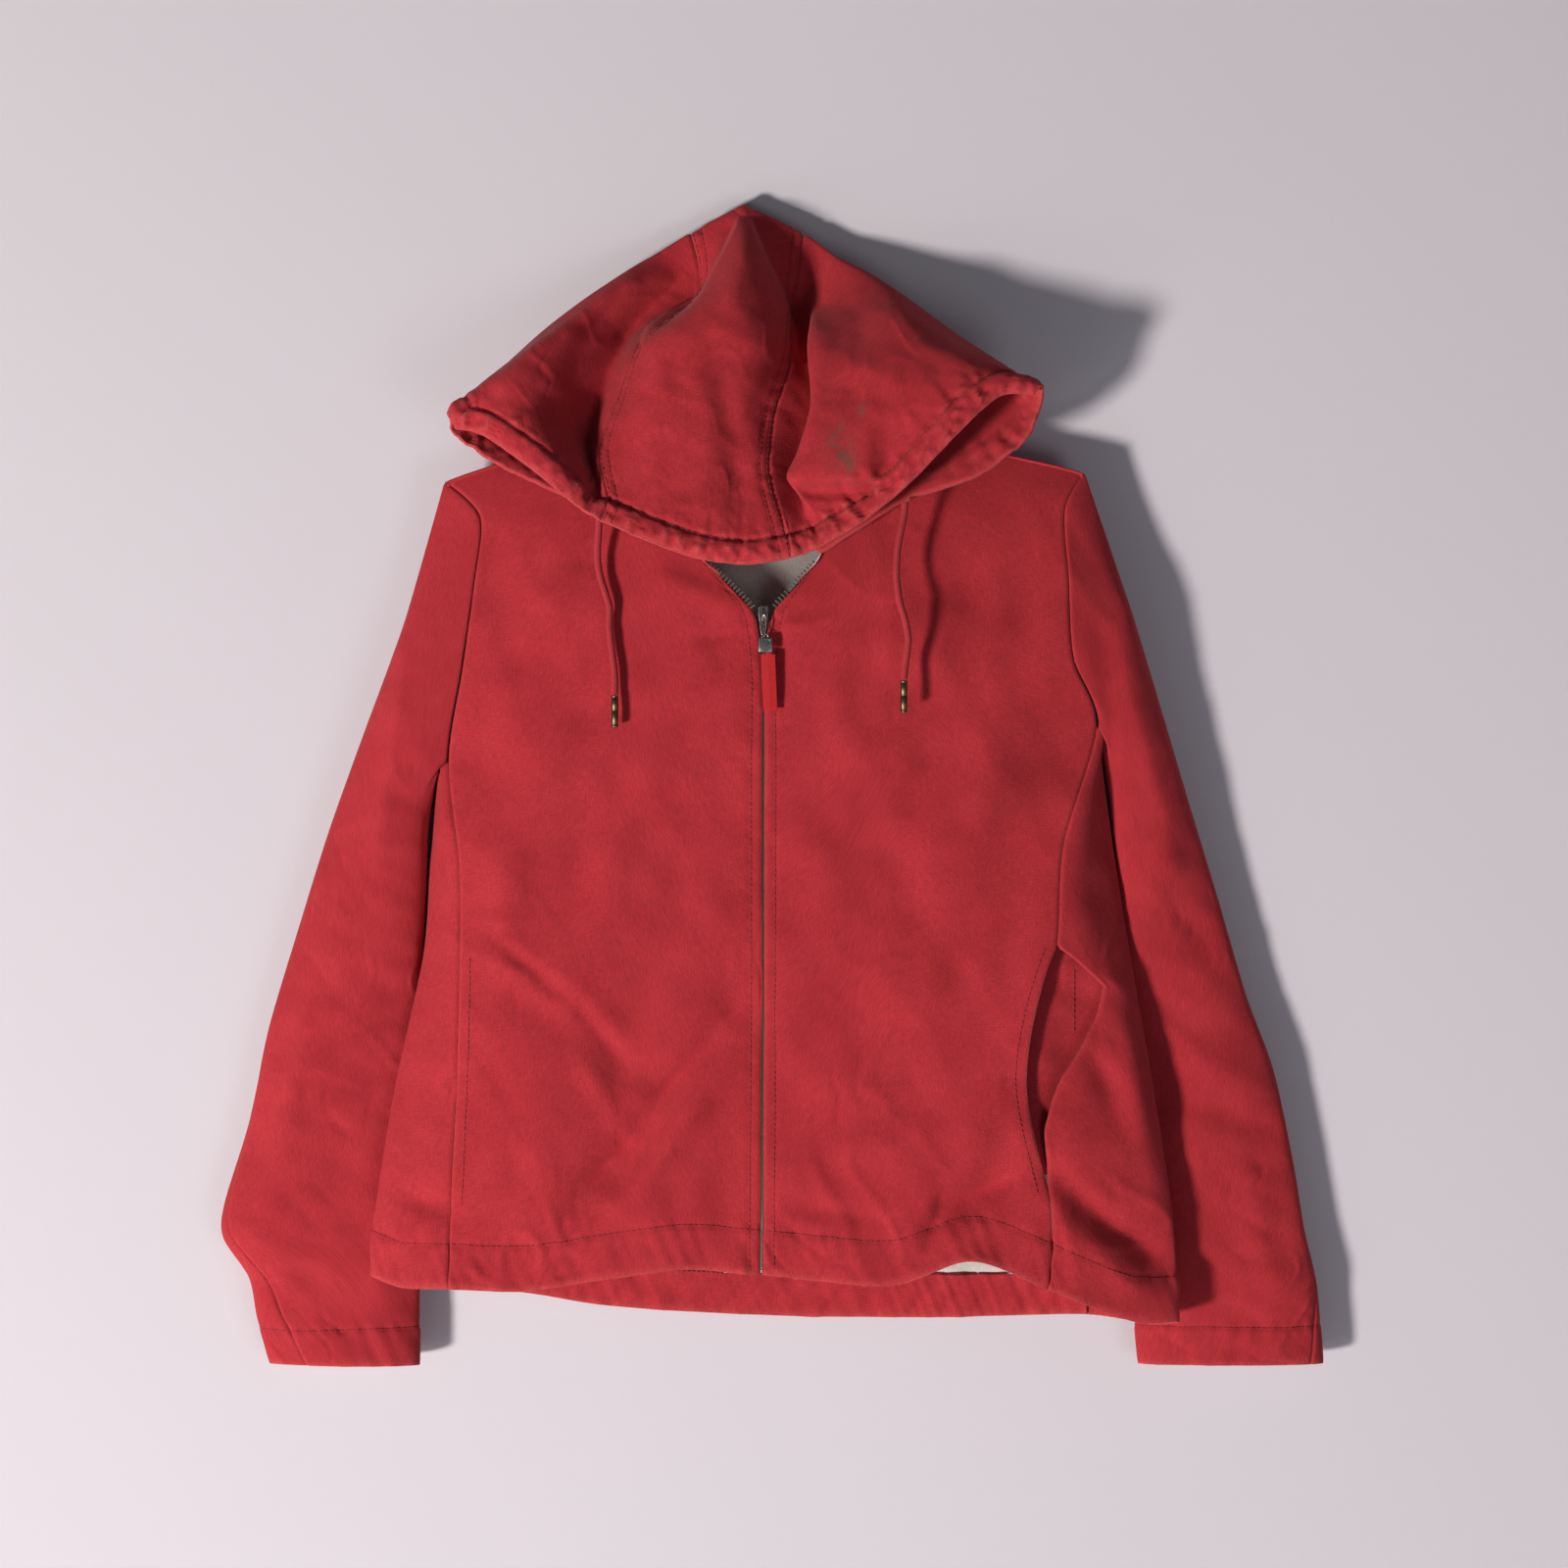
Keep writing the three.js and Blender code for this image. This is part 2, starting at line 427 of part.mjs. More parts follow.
// pull: link, charm and tab, hinged on the slider
function extrude(points, holes, depth) {
  const shape = new THREE.Shape(points.map((p) => new THREE.Vector2(p[0], p[1])));
  for (const hole of holes) shape.holes.push(new THREE.Path(hole.map((p) => new THREE.Vector2(p[0], p[1]))));
  const g = new THREE.ExtrudeGeometry(shape, { depth, bevelEnabled: false });
  g.rotateX(Math.PI / 2);
  return g;
}
const link = extrude(
  [[-2.6, 0], [2.6, 0], [2.2, -16], [-2.2, -16]],
  [[[-1.1, -2.2], [1.1, -2.2], [0.9, -13.8], [-0.9, -13.8]].reverse()],
  1.4,
);
add("zip_puller", link.translate(zipX, -73.6, -282), nickel);
add("zip_charm", box(9.6, 2.6, 10, zipX + 1.5, -74.4, -303.9), nickel);
add("zip_tab", box(10, 1.8, 39, zipX + 4.2, -74.4, -330), rubber);

// ---- drawcords ----
function tube(points, radius, sides, steps) {
  const path = new THREE.CatmullRomCurve3(points.map(space));
  const g = new THREE.TubeGeometry(path, steps, radius, sides, false);
  const pos = g.getAttribute("position");
  const rows = [];
  for (let j = 0; j <= steps; j++) {
    const rowPoints = [];
    for (let i = 0; i < sides; i++) {
      const k = j * (sides + 1) + i;
      rowPoints.push(new THREE.Vector3(pos.getX(k), pos.getY(k), pos.getZ(k)));
    }
    rows.push(rowPoints);
  }
  const flat = [];
  for (const r of rows) for (const p of r) flat.push(p.x, p.y, p.z);
  const index = [];
  for (let j = 0; j < steps; j++)
    for (let i = 0; i < sides; i++) {
      const a = j * sides + i;
      const b = j * sides + ((i + 1) % sides);
      index.push(a, b + sides, b, a, a + sides, b + sides);
    }
  for (const [row, turn] of [[0, 1], [steps, -1]]) {
    const centre = flat.length / 3;
    const c = path.getPoint(row ? 1 : 0);
    flat.push(c.x, c.y, c.z);
    for (let i = 0; i < sides; i++) {
      const a = row * sides + i;
      const b = row * sides + ((i + 1) % sides);
      if (turn > 0) index.push(centre, a, b);
      else index.push(centre, b, a);
    }
  }
  const out = new THREE.BufferGeometry();
  out.setAttribute("position", new THREE.Float32BufferAttribute(flat, 3));
  out.setIndex(index);
  out.computeVertexNormals();
  return out;
}
const cordRight = [[-98, -206, 76], [-99, -221, 73], [-100, -243, 71], [-98, -257, 71], [-92, -277, 72], [-92, -291, 72], [-90, -308, 73], [-88, -325, 74], [-88, -338, 75]];
const cordLeft = [[112, -206, 80], [111, -216, 80], [107, -237, 82], [106, -257, 84], [108, -274, 85], [112, -288, 85], [114, -301, 85], [112, -318, 84], [111, -328, 84]];
for (const [name, points] of [["right", cordRight], ["left", cordLeft]]) {
  const end = points[points.length - 1];
  add("drawcord_" + name, tube(points, CORD_R, 8, 16), braid);
  add(
    "aglet_" + name,
    new THREE.CylinderGeometry(AGLET_R, AGLET_R * 0.9, AGLET_LONG, 12).rotateX(Math.PI / 2).translate(end[0], -end[2], end[1] - 0.8 - AGLET_LONG / 2),
    antique,
  );
}

// ---- wall hook: plate and an arm that turns up inside the crown's dent ----
add("hook_plate", box(PLATE[0], PLATE[1], PLATE[2], 0, -PLATE[1] / 2, 2 - PLATE[2] / 2), steel);
add("hook_arm", tube([[0, -7, 3.2], [0, -7, 8], [0, -6.4, 11.2], [0, -4, 12.6], [0, -1.2, 12.8]], ARM_R, 10, 10), steel);

export default group;
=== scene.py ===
import math
import bpy
import bmesh
import numpy as np
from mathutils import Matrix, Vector


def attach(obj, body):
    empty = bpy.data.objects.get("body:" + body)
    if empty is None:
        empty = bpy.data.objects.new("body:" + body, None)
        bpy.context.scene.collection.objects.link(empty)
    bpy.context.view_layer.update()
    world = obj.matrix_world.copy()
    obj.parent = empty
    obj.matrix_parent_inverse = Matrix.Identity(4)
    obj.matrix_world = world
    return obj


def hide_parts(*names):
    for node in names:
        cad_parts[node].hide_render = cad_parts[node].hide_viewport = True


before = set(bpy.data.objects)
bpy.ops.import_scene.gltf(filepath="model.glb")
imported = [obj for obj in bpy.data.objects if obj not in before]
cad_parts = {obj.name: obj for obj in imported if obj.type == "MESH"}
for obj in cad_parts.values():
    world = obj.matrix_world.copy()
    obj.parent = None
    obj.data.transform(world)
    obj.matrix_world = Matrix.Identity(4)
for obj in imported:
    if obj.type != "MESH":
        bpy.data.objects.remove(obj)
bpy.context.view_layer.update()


# ---- Wall hook ----
# A small pressed steel plate screwed flat to the wall, with a bent rod brazed to it that turns up at its
# end. The crown of the hood hangs over the rod's tip. Satin steel, grey and slightly scuffed.
MM = 0.001


def linear(code):
    """An sRGB hex colour as linear numbers."""
    parts = [int(code[i:i + 2], 16) / 255 for i in (1, 3, 5)]
    return [c / 12.92 if c <= 0.04045 else ((c + 0.055) / 1.055) ** 2.4 for c in parts] + [1.0]


def node(tree, kind, settings=None, links=None):
    """Adds one node: settings are its properties or input values, links its inputs' sources."""
    made = tree.nodes.new(kind)
    for key, value in (settings or {}).items():
        if isinstance(key, str) and hasattr(made, key):
            setattr(made, key, value)
        else:
            made.inputs[key].default_value = value
    for key, source in (links or {}).items():
        tree.links.new(source, made.inputs[key])
    return made


def new_material(name):
    made = bpy.data.materials.new(name)
    made.use_nodes = True
    made.node_tree.nodes.clear()
    return made


def output(tree, shader):
    node(tree, "ShaderNodeOutputMaterial", links={"Surface": shader.outputs[0]})


def metal(name, colour, dark, rough, grain_mm):
    """Plated or bare metal: a fine mottling of tone and gloss from handling."""
    made = new_material(name)
    t = made.node_tree
    place = node(t, "ShaderNodeTexCoord")
    spots = node(
        t, "ShaderNodeTexNoise", {"Scale": 1 / (grain_mm * MM), "Detail": 4.0},
        {"Vector": place.outputs["Object"]},
    )
    tone = node(
        t, "ShaderNodeMix", {"data_type": "RGBA", 6: linear(dark), 7: linear(colour)},
        {0: spots.outputs["Fac"]},
    )
    gloss = node(
        t, "ShaderNodeMapRange", {"To Min": rough - 0.08, "To Max": rough + 0.14},
        {"Value": spots.outputs["Fac"]},
    )
    bump = node(
        t, "ShaderNodeBump", {"Strength": 0.15, "Distance": 0.0001}, {"Height": spots.outputs["Fac"]},
    )
    shader = node(
        t, "ShaderNodeBsdfPrincipled", {"Metallic": 1.0},
        {"Base Color": tone.outputs[2], "Roughness": gloss.outputs[0], "Normal": bump.outputs[0]},
    )
    output(t, shader)
    return made


def mesh_object(name, points, faces, materials, smooth=True):
    mesh = bpy.data.meshes.new(name)
    mesh.from_pydata([tuple(p) for p in points], [], [tuple(int(i) for i in f) for f in faces])
    for material in materials:
        mesh.materials.append(material)
    if smooth:
        mesh.polygons.foreach_set("use_smooth", [True] * len(mesh.polygons))
    made = bpy.data.objects.new(name, mesh)
    bpy.context.scene.collection.objects.link(made)
    return made


def rounded_box(name, size, centre, edge, materials):
    """A block with bevelled edges, sizes in mm, centre (x, y, z) in mm."""
    bm = bmesh.new()
    bmesh.ops.create_cube(bm, size=1.0)
    for v in bm.verts:
        v.co = Vector([v.co[i] * size[i] * MM for i in range(3)])
    bmesh.ops.bevel(bm, geom=bm.edges[:], offset=edge * MM, segments=3, profile=0.5, affect="EDGES")
    for v in bm.verts:
        v.co += Vector([centre[i] * MM for i in range(3)])
    mesh = bpy.data.meshes.new(name)
    bm.to_mesh(mesh)
    bm.free()
    for material in materials:
        mesh.materials.append(material)
    mesh.polygons.foreach_set("use_smooth", [True] * len(mesh.polygons))
    made = bpy.data.objects.new(name, mesh)
    bpy.context.scene.collection.objects.link(made)
    return made


def tube_mesh(path, radius, sides, twist=0.0, closed=False):
    """Points and faces of a round tube along a path in metres; radius is a number or one for each point."""
    path = np.asarray(path, float)
    radius = np.broadcast_to(np.asarray(radius, float), (len(path),))
    along = np.gradient(path, axis=0)
    if closed:
        along = np.roll(path, -1, axis=0) - np.roll(path, 1, axis=0)
    along /= np.linalg.norm(along, axis=1)[:, None]
    side = np.cross(along[0], (0.0, 1.0, 0.0))
    if np.linalg.norm(side) < 0.1:
        side = np.cross(along[0], (1.0, 0.0, 0.0))
    points = []
    for i, (p, d) in enumerate(zip(path, along)):
        side = side - d * np.dot(side, d)
        side /= np.linalg.norm(side)
        other = np.cross(d, side)
        for k in range(sides):
            a = 2 * math.pi * k / sides + twist * i
            points.append(p + radius[i] * (math.cos(a) * side + math.sin(a) * other))
    faces = []
    rows = len(path)
    for i in range(rows if closed else rows - 1):
        j = (i + 1) % rows
        for k in range(sides):
            m = (k + 1) % sides
            faces.append((i * sides + k, i * sides + m, j * sides + m, j * sides + k))
    if not closed:
        faces.append(tuple(range(sides - 1, -1, -1)))
        faces.append(tuple((rows - 1) * sides + k for k in range(sides)))
    return points, faces


hook_steel = metal("satin_steel", "#9b9da0", "#6f7174", 0.38, 0.6)
plate = rounded_box("hook_plate_steel", (12, 3, 14), (0, -1.5, -5), 0.8, [hook_steel])
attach(plate, "hoodie")
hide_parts("hook_plate")
rod_path = []
for step in range(25):
    f = step / 24
    bend = min(1.0, max(0.0, (f - 0.55) / 0.3)) * math.pi / 2
    if f < 0.55:
        rod_path.append((0, -(3.0 + 7.2 * f / 0.55), -7.0))
    elif f < 0.85:
        rod_path.append((0, -(10.2 + 2.6 * math.sin(bend)), -7.0 + 2.6 * (1 - math.cos(bend))))
    else:
        rod_path.append((0, -12.8, -4.4 + 3.2 * (f - 0.85) / 0.15))
rod_points, rod_faces = tube_mesh(np.array(rod_path) * MM, 1.95 * MM, 16)
rod = mesh_object("hook_rod_steel", rod_points, rod_faces, [hook_steel])
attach(rod, "hoodie")
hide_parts("hook_arm")


# ---- Body: two fronts, two side panels and the back ----
# Washed cotton canvas backed with jersey, cut in five panels and joined by princess seams at the front
# and side-back seams behind. Each column below runs from the neck, shoulder or armhole down to the hem.
# Points are (x to the right, z up, distance out from the wall), all in millimetres.
R = {
    "zip": [[-27, -247, 65], [-8, -264, 67], [8, -284, 68], [13, -322, 68.5], [13, -384, 70], [13, -455, 72],
        [13, -520, 73], [12.6, -610, 75], [12, -700, 77], [11.5, -738, 78]],
    "front1": [[-60, -208, 56], [-50, -240, 63], [-44, -274, 67], [-42, -322, 69], [-40, -384, 70],
        [-40, -455, 72], [-40, -520, 74], [-40, -610, 77], [-40, -700, 80], [-40, -734, 81]],
    "front2": [[-74, -144, 30], [-88, -198, 51], [-92, -258, 63], [-94, -320, 66], [-95, -384, 69],
        [-95, -455, 72], [-95, -520, 76], [-96, -610, 75], [-96, -700, 80], [-96, -741, 82]],
    "front3": [[-140, -165, 33], [-138, -205, 48], [-142, -262, 58], [-146, -320, 61], [-150, -384, 64],
        [-150, -455, 70], [-150, -520, 74], [-150, -610, 79], [-152, -700, 79], [-152, -749, 80]],
    "princess": [[-208, -188, 34], [-183, -214, 44], [-187, -262, 50], [-195, -320, 50], [-205, -384, 48],
        [-197, -455, 60], [-196, -520, 66], [-198, -610, 70], [-202, -700, 73], [-203, -748, 75]],
    "side1": [[-210, -200, 34], [-196, -222, 44], [-198, -268, 50], [-205, -324, 48], [-211, -390, 44],
        [-208, -455, 52], [-210, -520, 56], [-222, -610, 62], [-232, -700, 66], [-236, -748, 68]],
    "fold": [[-212, -215, 30], [-206, -236, 34], [-207, -280, 36], [-210, -330, 36], [-214, -398, 33],
        [-218, -455, 36], [-223, -520, 40], [-242, -610, 46], [-256, -700, 52], [-258, -741, 56]],
    "side2": [[-208, -200, 24], [-200, -225, 24], [-200, -275, 22], [-204, -330, 20], [-210, -400, 19],
        [-218, -455, 13], [-218, -520, 19], [-229, -612, 33], [-239, -702, 41], [-243, -747, 45]],
    "back_seam": [[-208, -188, 34], [-192, -214, 24], [-190, -262, 16], [-194, -325, 12], [-199, -394, 9],
        [-197, -455, 8], [-197, -520, 8], [-201, -612, 12], [-206, -702, 17], [-208, -752, 20]],
    "back3": [[-140, -165, 33], [-142, -205, 18], [-145, -262, 10], [-148, -320, 8], [-150, -388, 7],
        [-150, -455, 7], [-150, -520, 7], [-152, -612, 8], [-152, -702, 10], [-152, -758, 12]],
    "back2": [[-74, -144, 30], [-84, -196, 14], [-88, -256, 8], [-90, -320, 7], [-90, -388, 7],
        [-90, -455, 7], [-90, -520, 7], [-90, -612, 8], [-90, -702, 10], [-92, -767, 12]],
}
MIDDLE_BACK = [[4, -139, 15], [4, -186, 11], [5, -252, 8], [6, -320, 7], [8, -388, 6], [10, -455, 6],
    [10, -520, 6], [12, -612, 8], [14, -702, 10], [16, -774, 12]]
L = {
    "back2": [[84, -142, 30], [92, -194, 14], [98, -256, 8], [102, -320, 7], [106, -388, 7], [108, -455, 7],
        [110, -520, 7], [112, -612, 8], [114, -702, 10], [116, -775, 12]],
    "back3": [[160, -163, 33], [160, -203, 18], [162, -262, 10], [166, -320, 8], [170, -384, 7],
        [170, -455, 7], [172, -520, 7], [174, -612, 8], [176, -702, 10], [178, -774, 12]],
    "back_seam": [[238, -182, 34], [228, -208, 24], [226, -258, 16], [230, -320, 12], [234, -382, 9],
        [231, -455, 8], [231, -520, 9], [235, -612, 13], [240, -702, 18], [244, -772, 22]],
    "side2": [[240, -200, 24], [232, -225, 24], [232, -275, 22], [238, -330, 20], [246, -386, 20],
        [251, -455, 24], [256, -520, 30], [268, -612, 38], [280, -702, 45], [285, -775, 49]],
    "fold": [[242, -215, 30], [238, -236, 34], [238, -280, 36], [243, -330, 36], [250, -382, 34],
        [260, -455, 38], [270, -520, 43], [285, -610, 51], [298, -700, 57], [302, -772, 62]],
    "side1": [[240, -200, 34], [230, -222, 44], [232, -268, 50], [239, -324, 48], [249, -372, 43],
        [244, -450, 54], [248, -520, 62], [258, -610, 68], [266, -700, 70], [268, -770, 76]],
    "princess": [[238, -182, 34], [224, -208, 46], [226, -255, 54], [229, -312, 58], [246, -360, 50],
        [222, -440, 66], [217, -512, 72], [204, -610, 78], [213, -700, 82], [210, -747, 85]],
    "front3": [[160, -163, 33], [160, -203, 48], [162, -262, 60], [165, -320, 65], [168, -384, 67],
        [165, -455, 71], [162, -520, 75], [158, -610, 79], [158, -700, 83], [158, -727, 90]],
    "front2": [[84, -142, 30], [96, -196, 51], [104, -258, 64], [108, -320, 68], [110, -384, 70],
        [110, -455, 73], [110, -520, 76], [108, -610, 78], [106, -700, 83], [106, -744, 88]],
    "front1": [[72, -206, 56], [68, -240, 63], [66, -274, 68], [64, -322, 69], [62, -384, 71], [62, -455, 73],
        [62, -520, 75], [60, -610, 77], [58, -700, 80], [58, -742, 84]],
    "zip": [[52, -247, 65], [36, -264, 67], [20.5, -284, 68], [15.6, -322, 68.5], [15.6, -384, 70],
        [15.4, -455, 72], [15.2, -520, 73], [15, -610, 75], [14.6, -700, 77], [14.4, -738, 78]],
}
body_columns = [
    R["zip"], R["front1"], R["front2"], R["front3"], R["princess"], R["side1"], R["fold"], R["side2"],
    R["back_seam"],
    R["back3"], R["back2"], MIDDLE_BACK, L["back2"], L["back3"], L["back_seam"], L["side2"], L["fold"],
    L["side1"],
    L["princess"], L["front3"], L["front2"], L["front1"], L["zip"],
]
R_PRINCESS, R_FOLD, R_BACK, BACK_MIDDLE, L_BACK, L_FOLD, L_PRINCESS, BODY_LAST = 4, 6, 8, 11, 14, 16, 18, 22


def cardinal(a, b, c, d, f):
    f = f[..., None]
    f2 = f * f
    f3 = f2 * f
    return b * (2 * f3 - 3 * f2 + 1) + c * (3 * f2 - 2 * f3) + 0.42 * (
        (c - a) * (f3 - 2 * f2 + f) + (d - b) * (f3 - f2)
    )


def net_at(net, a, b):
    """Smooth points of a net of columns: a counts columns, b counts rows down them."""
    columns, rows = net.shape[:2]
    i = np.clip(np.floor(a).astype(int), 0, columns - 2)
    j = np.clip(np.floor(b).astype(int), 0, rows - 2)

    def down(k):
        k = np.clip(k, 0, columns - 1)
        around = [net[k, np.clip(j + s, 0, rows - 1)] for s in (-1, 0, 1, 2)]
        return cardinal(*around, b - j)

    return cardinal(down(i - 1), down(i), down(i + 1), down(i + 2), a - i)


def space(p):
    """(x, z, d) in mm to the row frame in mm."""
    return np.stack([p[..., 0], -p[..., 2], p[..., 1]], axis=-1)


def smooth_step(x, low, high):
    t = np.clip((x - low) / (high - low), 0, 1)
    return t * t * (3 - 2 * t)


def segment_distance(x, z, x1, z1, x2, z2):
    """Distance from a line between two points, and how far along it, 0 to 1."""
    dx, dz = x2 - x1, z2 - z1
    f = np.clip(((x - x1) * dx + (z - z1) * dz) / (dx * dx + dz * dz), 0, 1)
    return np.hypot(x - x1 - f * dx, z - z1 - f * dz), f


def ripple(x, z, length, seed, turns=14):
    """A gentle random unevenness, about -1 to 1, with waves of about that length in mm."""
    pick = np.random.default_rng(seed)
    total = np.zeros_like(x)
    for _ in range(turns):
        angle = pick.uniform(0, 2 * math.pi)
        k = 2 * math.pi / (length * pick.uniform(0.7, 1.5))
        total = total + np.sin(
            k * (x * math.cos(angle) + z * math.sin(angle)) + pick.uniform(0, 2 * math.pi)
        )
    return total / math.sqrt(turns)


# Each fold: start x, z, end x, z, half width, height in mm; below zero is a trough.
CAD_FOLDS = [
    [-172, -510, -90, -578, 16, 5],
    [-150, -545, -70, -600, 14, -4],
    [0, -560, -112, -690, 18, -6],
    [-20, -600, -100, -715, 14, 4],
    [-150, -349, -40, -352, 12, -2],
    [205, -668, 130, -700, 13, -5],
    [190, -640, 110, -690, 14, 4],
    [222, -672, 296, -734, 13, -7],
    [215, -690, 280, -756, 13, 4],
    [-232, -684, -205, -694, 8, -4],
    [-52, -258, 0, -280, 9, 3],
    [90, -280, 200, -245, 16, -3],
    [-90, -250, -170, -300, 18, 3],
    [180, -400, 120, -470, 22, 3],
]
BODY_FOLDS = [
    [-172, -506, -110, -556, 6, -4],
    [-110, -556, -82, -592, 6, -4],
    [-6, -556, -84, -650, 7, -4],
    [-84, -650, -116, -690, 7, -4],
    [-10, -590, -84, -690, 9, 3],
    [-186, -575, -150, -640, 9, -2.5],
    [-176, -600, -120, -690, 12, 2],
    [-120, -570, -80, -640, 9, 3],
    [-60, -640, -100, -690, 8, -3],
    [-190, -430, -150, -505, 12, 2],
    [-30, -420, -90, -470, 16, 1.8],
    [40, -420, 120, -470, 18, -1.8],
    [30, -688, 95, -700, 6, -2.5],
    [203, -664, 136, -690, 6, -4],
    [138, -688, 124, -726, 7, -4],
    [190, -676, 150, -712, 8, 3.5],
    [205, -610, 150, -690, 14, -3],
    [60, -650, 150, -640, 12, 2],
    [20, -292, 60, -286, 4, 1.5],
    [-40, -300, 5, -296, 4, -1.2],
    [226, -560, 262, -600, 7, 3],
    [236, -555, 262, -640, 9, -4],
    [262, -540, 288, -690, 9, 4],
    [222, -660, 262, -700, 8, 4],
    [236, -690, 292, -736, 8, -2.5],
    [218, -690, 232, -740, 6, 3],
    [-232, -640, -208, -600, 6, -2.5],
    [-246, -720, -212, -700, 6, 2],
    [-170, -260, -150, -340, 12, -2.2],
    [200, -240, 190, -340, 14, -2.5],
]
BACK_FOLDS = [
    [-120, -230, -150, -420, 16, 2.5],
    [130, -230, 160, -420, 16, 2.5],
    [-60, -480, -110, -700, 18, -2],
    [70, -480, 120, -700, 18, -2],
    [-100, -200, 110, -205, 12, 2],
]


def crumple(x, z, length, seed):
    """Fine sharp creases, 0 to 1, that wander and fade out, as thick cloth keeps after being bunched up."""
    bend = 0.3 * length * ripple(x, z, length * 1.6, seed + 1, 6)
    lines = ripple(x + bend, z - bend, length, seed, 6)
    patchy = smooth_step(ripple(x, z, length * 2.2, seed + 2, 6), -0.2, 1.0)
    return np.exp(-((lines / 0.2) ** 2)) * patchy


def fold_height(x, z, folds):
    total = np.zeros_like(x)
    for x1, z1, x2, z2, half, height in folds:
        away, f = segment_distance(x, z, x1, z1, x2, z2)
        fade = 0.35 + 0.65 * np.sin(np.pi * np.clip(f, 0.08, 0.92))
        total += height * np.exp(-((away / half) ** 2)) * fade
    return total


body_net = np.array(body_columns, float)


def body(a, b):
    p = net_at(body_net, a, b)
    x, z = p[..., 0].copy(), p[..., 1].copy()
    right = np.clip((R_FOLD + 0.8 - a) / 1.5, 0, 1)
    left = np.clip((a - L_FOLD + 0.8) / 1.5, 0, 1)
    front = np.where(a < BACK_MIDDLE, right, left)
    rear = np.clip((a - R_FOLD - 0.8) / 1.5, 0, 1) * np.clip((L_FOLD - 0.8 - a) / 1.5, 0, 1)
    down = smooth_step(b, 0.3, 1.5)
    p[..., 2] += front * (fold_height(x, z, CAD_FOLDS) + down * fold_height(x, z, BODY_FOLDS))
    p[..., 2] += front * down * (1.3 * ripple(x, z, 80, 3) + 0.45 * ripple(x, z, 30, 4))
    low = smooth_step(-z, 460, 620)
    creases = (0.5 + 1.1 * low) * crumple(x, z, 75, 7) - (0.3 + 0.7 * low) * crumple(x, z, 42, 17)
    p[..., 2] += front * down * creases
    p[..., 2] += rear * np.minimum(1, np.maximum(0, (b - 1) / 2)) * 2.2 * np.sin(x / 38 + z / 90)
    p[..., 2] += rear * down * (fold_height(x, z, BACK_FOLDS) + 0.4 * ripple(x, z, 30, 5))
    return p


CLOTH = 1.6
SEAM_ROWS = (0.0, 0.5, 1.0, 1.7, 2.6, 3.8, 5.5)


def spread(length, step, near_start, near_end):
    """Places along a panel, 0 to 1, a step apart in mm and closer beside a seam."""
    places = set(np.linspace(0, 1, max(2, int(length / step) + 1)))
    for mm in SEAM_ROWS:
        if near_start:
            places.add(mm / length)
        if near_end:
            places.add(1 - mm / length)
    places = sorted(places)
    kept = [places[0]]
    for p in places[1:]:
        if (p - kept[-1]) * length > 0.3:
            kept.append(p)
    kept[-1] = 1.0
    return np.array(kept)


def cut(surface, edges, u, v, side, lift=0.0):
    """A panel's grid; edges maps (u, v) to the surface's (a, b), lift moves it along its normals."""
    uu, vv = np.meshgrid(u, v)
    a, b = edges(uu, vv)
    e = 0.03
    place = space(surface(a, b))
    across = space(surface(a + e, b)) - space(surface(a - e, b))
    along = space(surface(a, b + e)) - space(surface(a, b - e))
    normal = np.cross(across, along) * side
    normal /= np.maximum(np.linalg.norm(normal, axis=-1, keepdims=True), 1e-9)
    place = place + normal * lift
    du = np.linalg.norm(np.diff(place, axis=1), axis=-1)
    dv = np.linalg.norm(np.diff(place, axis=0), axis=-1)
    run_u = np.concatenate([np.zeros((len(v), 1)), np.cumsum(du, axis=1)], axis=1)
    run_v = np.concatenate([np.zeros((1, len(u))), np.cumsum(dv, axis=0)], axis=0)
    return {
        "place": place, "normal": normal, "run_u": run_u, "run_v": run_v, "a": a, "b": b,
        "rise": np.zeros(a.shape),
    }


def from_edge(grid, edge):
    """Distance in mm from one edge of a panel, measured along the cloth."""
    if edge == "start":
        return grid["run_u"]
    if edge == "end":
        return grid["run_u"][:, -1:] - grid["run_u"]
    if edge == "top":
        return grid["run_v"]
    return grid["run_v"][-1:, :] - grid["run_v"]


def roll_seams(grid, edges, deep=0.8):
    """The cloth turns in at a seam, so each seam shows as a fine groove."""
    for edge in edges:
        grid["rise"] -= deep * np.exp(-((from_edge(grid, edge) / 1.3) ** 2))


def row_of_stitching(grid, edge, mm, deep=0.35):
    """Topstitching pulls the cloth down in a line and puckers it a little beside it."""
    away = from_edge(grid, edge) - mm
    other = grid["run_v"] if edge in ("start", "end") else grid["run_u"]
    pucker = 0.3 * ripple(other, 0 * other, 9, int(mm * 10) + len(edge)) * np.exp(-((away / 4.5) ** 2))
    grid["rise"] += pucker - deep * np.exp(-((away / 1.1) ** 2))


def settle(grid):
    grid["place"] = grid["place"] + grid["normal"] * grid["rise"][..., None]


def line_at(grid, edge, mm, lift=0.25):
    """The line on a settled panel that keeps one distance from an edge, with the normals beside it."""
    away = from_edge(grid, edge)
    place, normal = grid["place"], grid["normal"]
    if edge in ("top", "bottom"):
        away, place, normal = away.T, place.transpose(1, 0, 2), normal.transpose(1, 0, 2)
    points, normals = [], []
    for k in range(away.shape[0]):
        order = np.argsort(away[k])
        points.append([np.interp(mm, away[k][order], place[k][order, i]) for i in range(3)])
        normals.append([np.interp(mm, away[k][order], normal[k][order, i]) for i in range(3)])
    normals = np.array(normals)
    normals /= np.linalg.norm(normals, axis=1)[:, None]
    return np.array(points) + normals * lift, normals


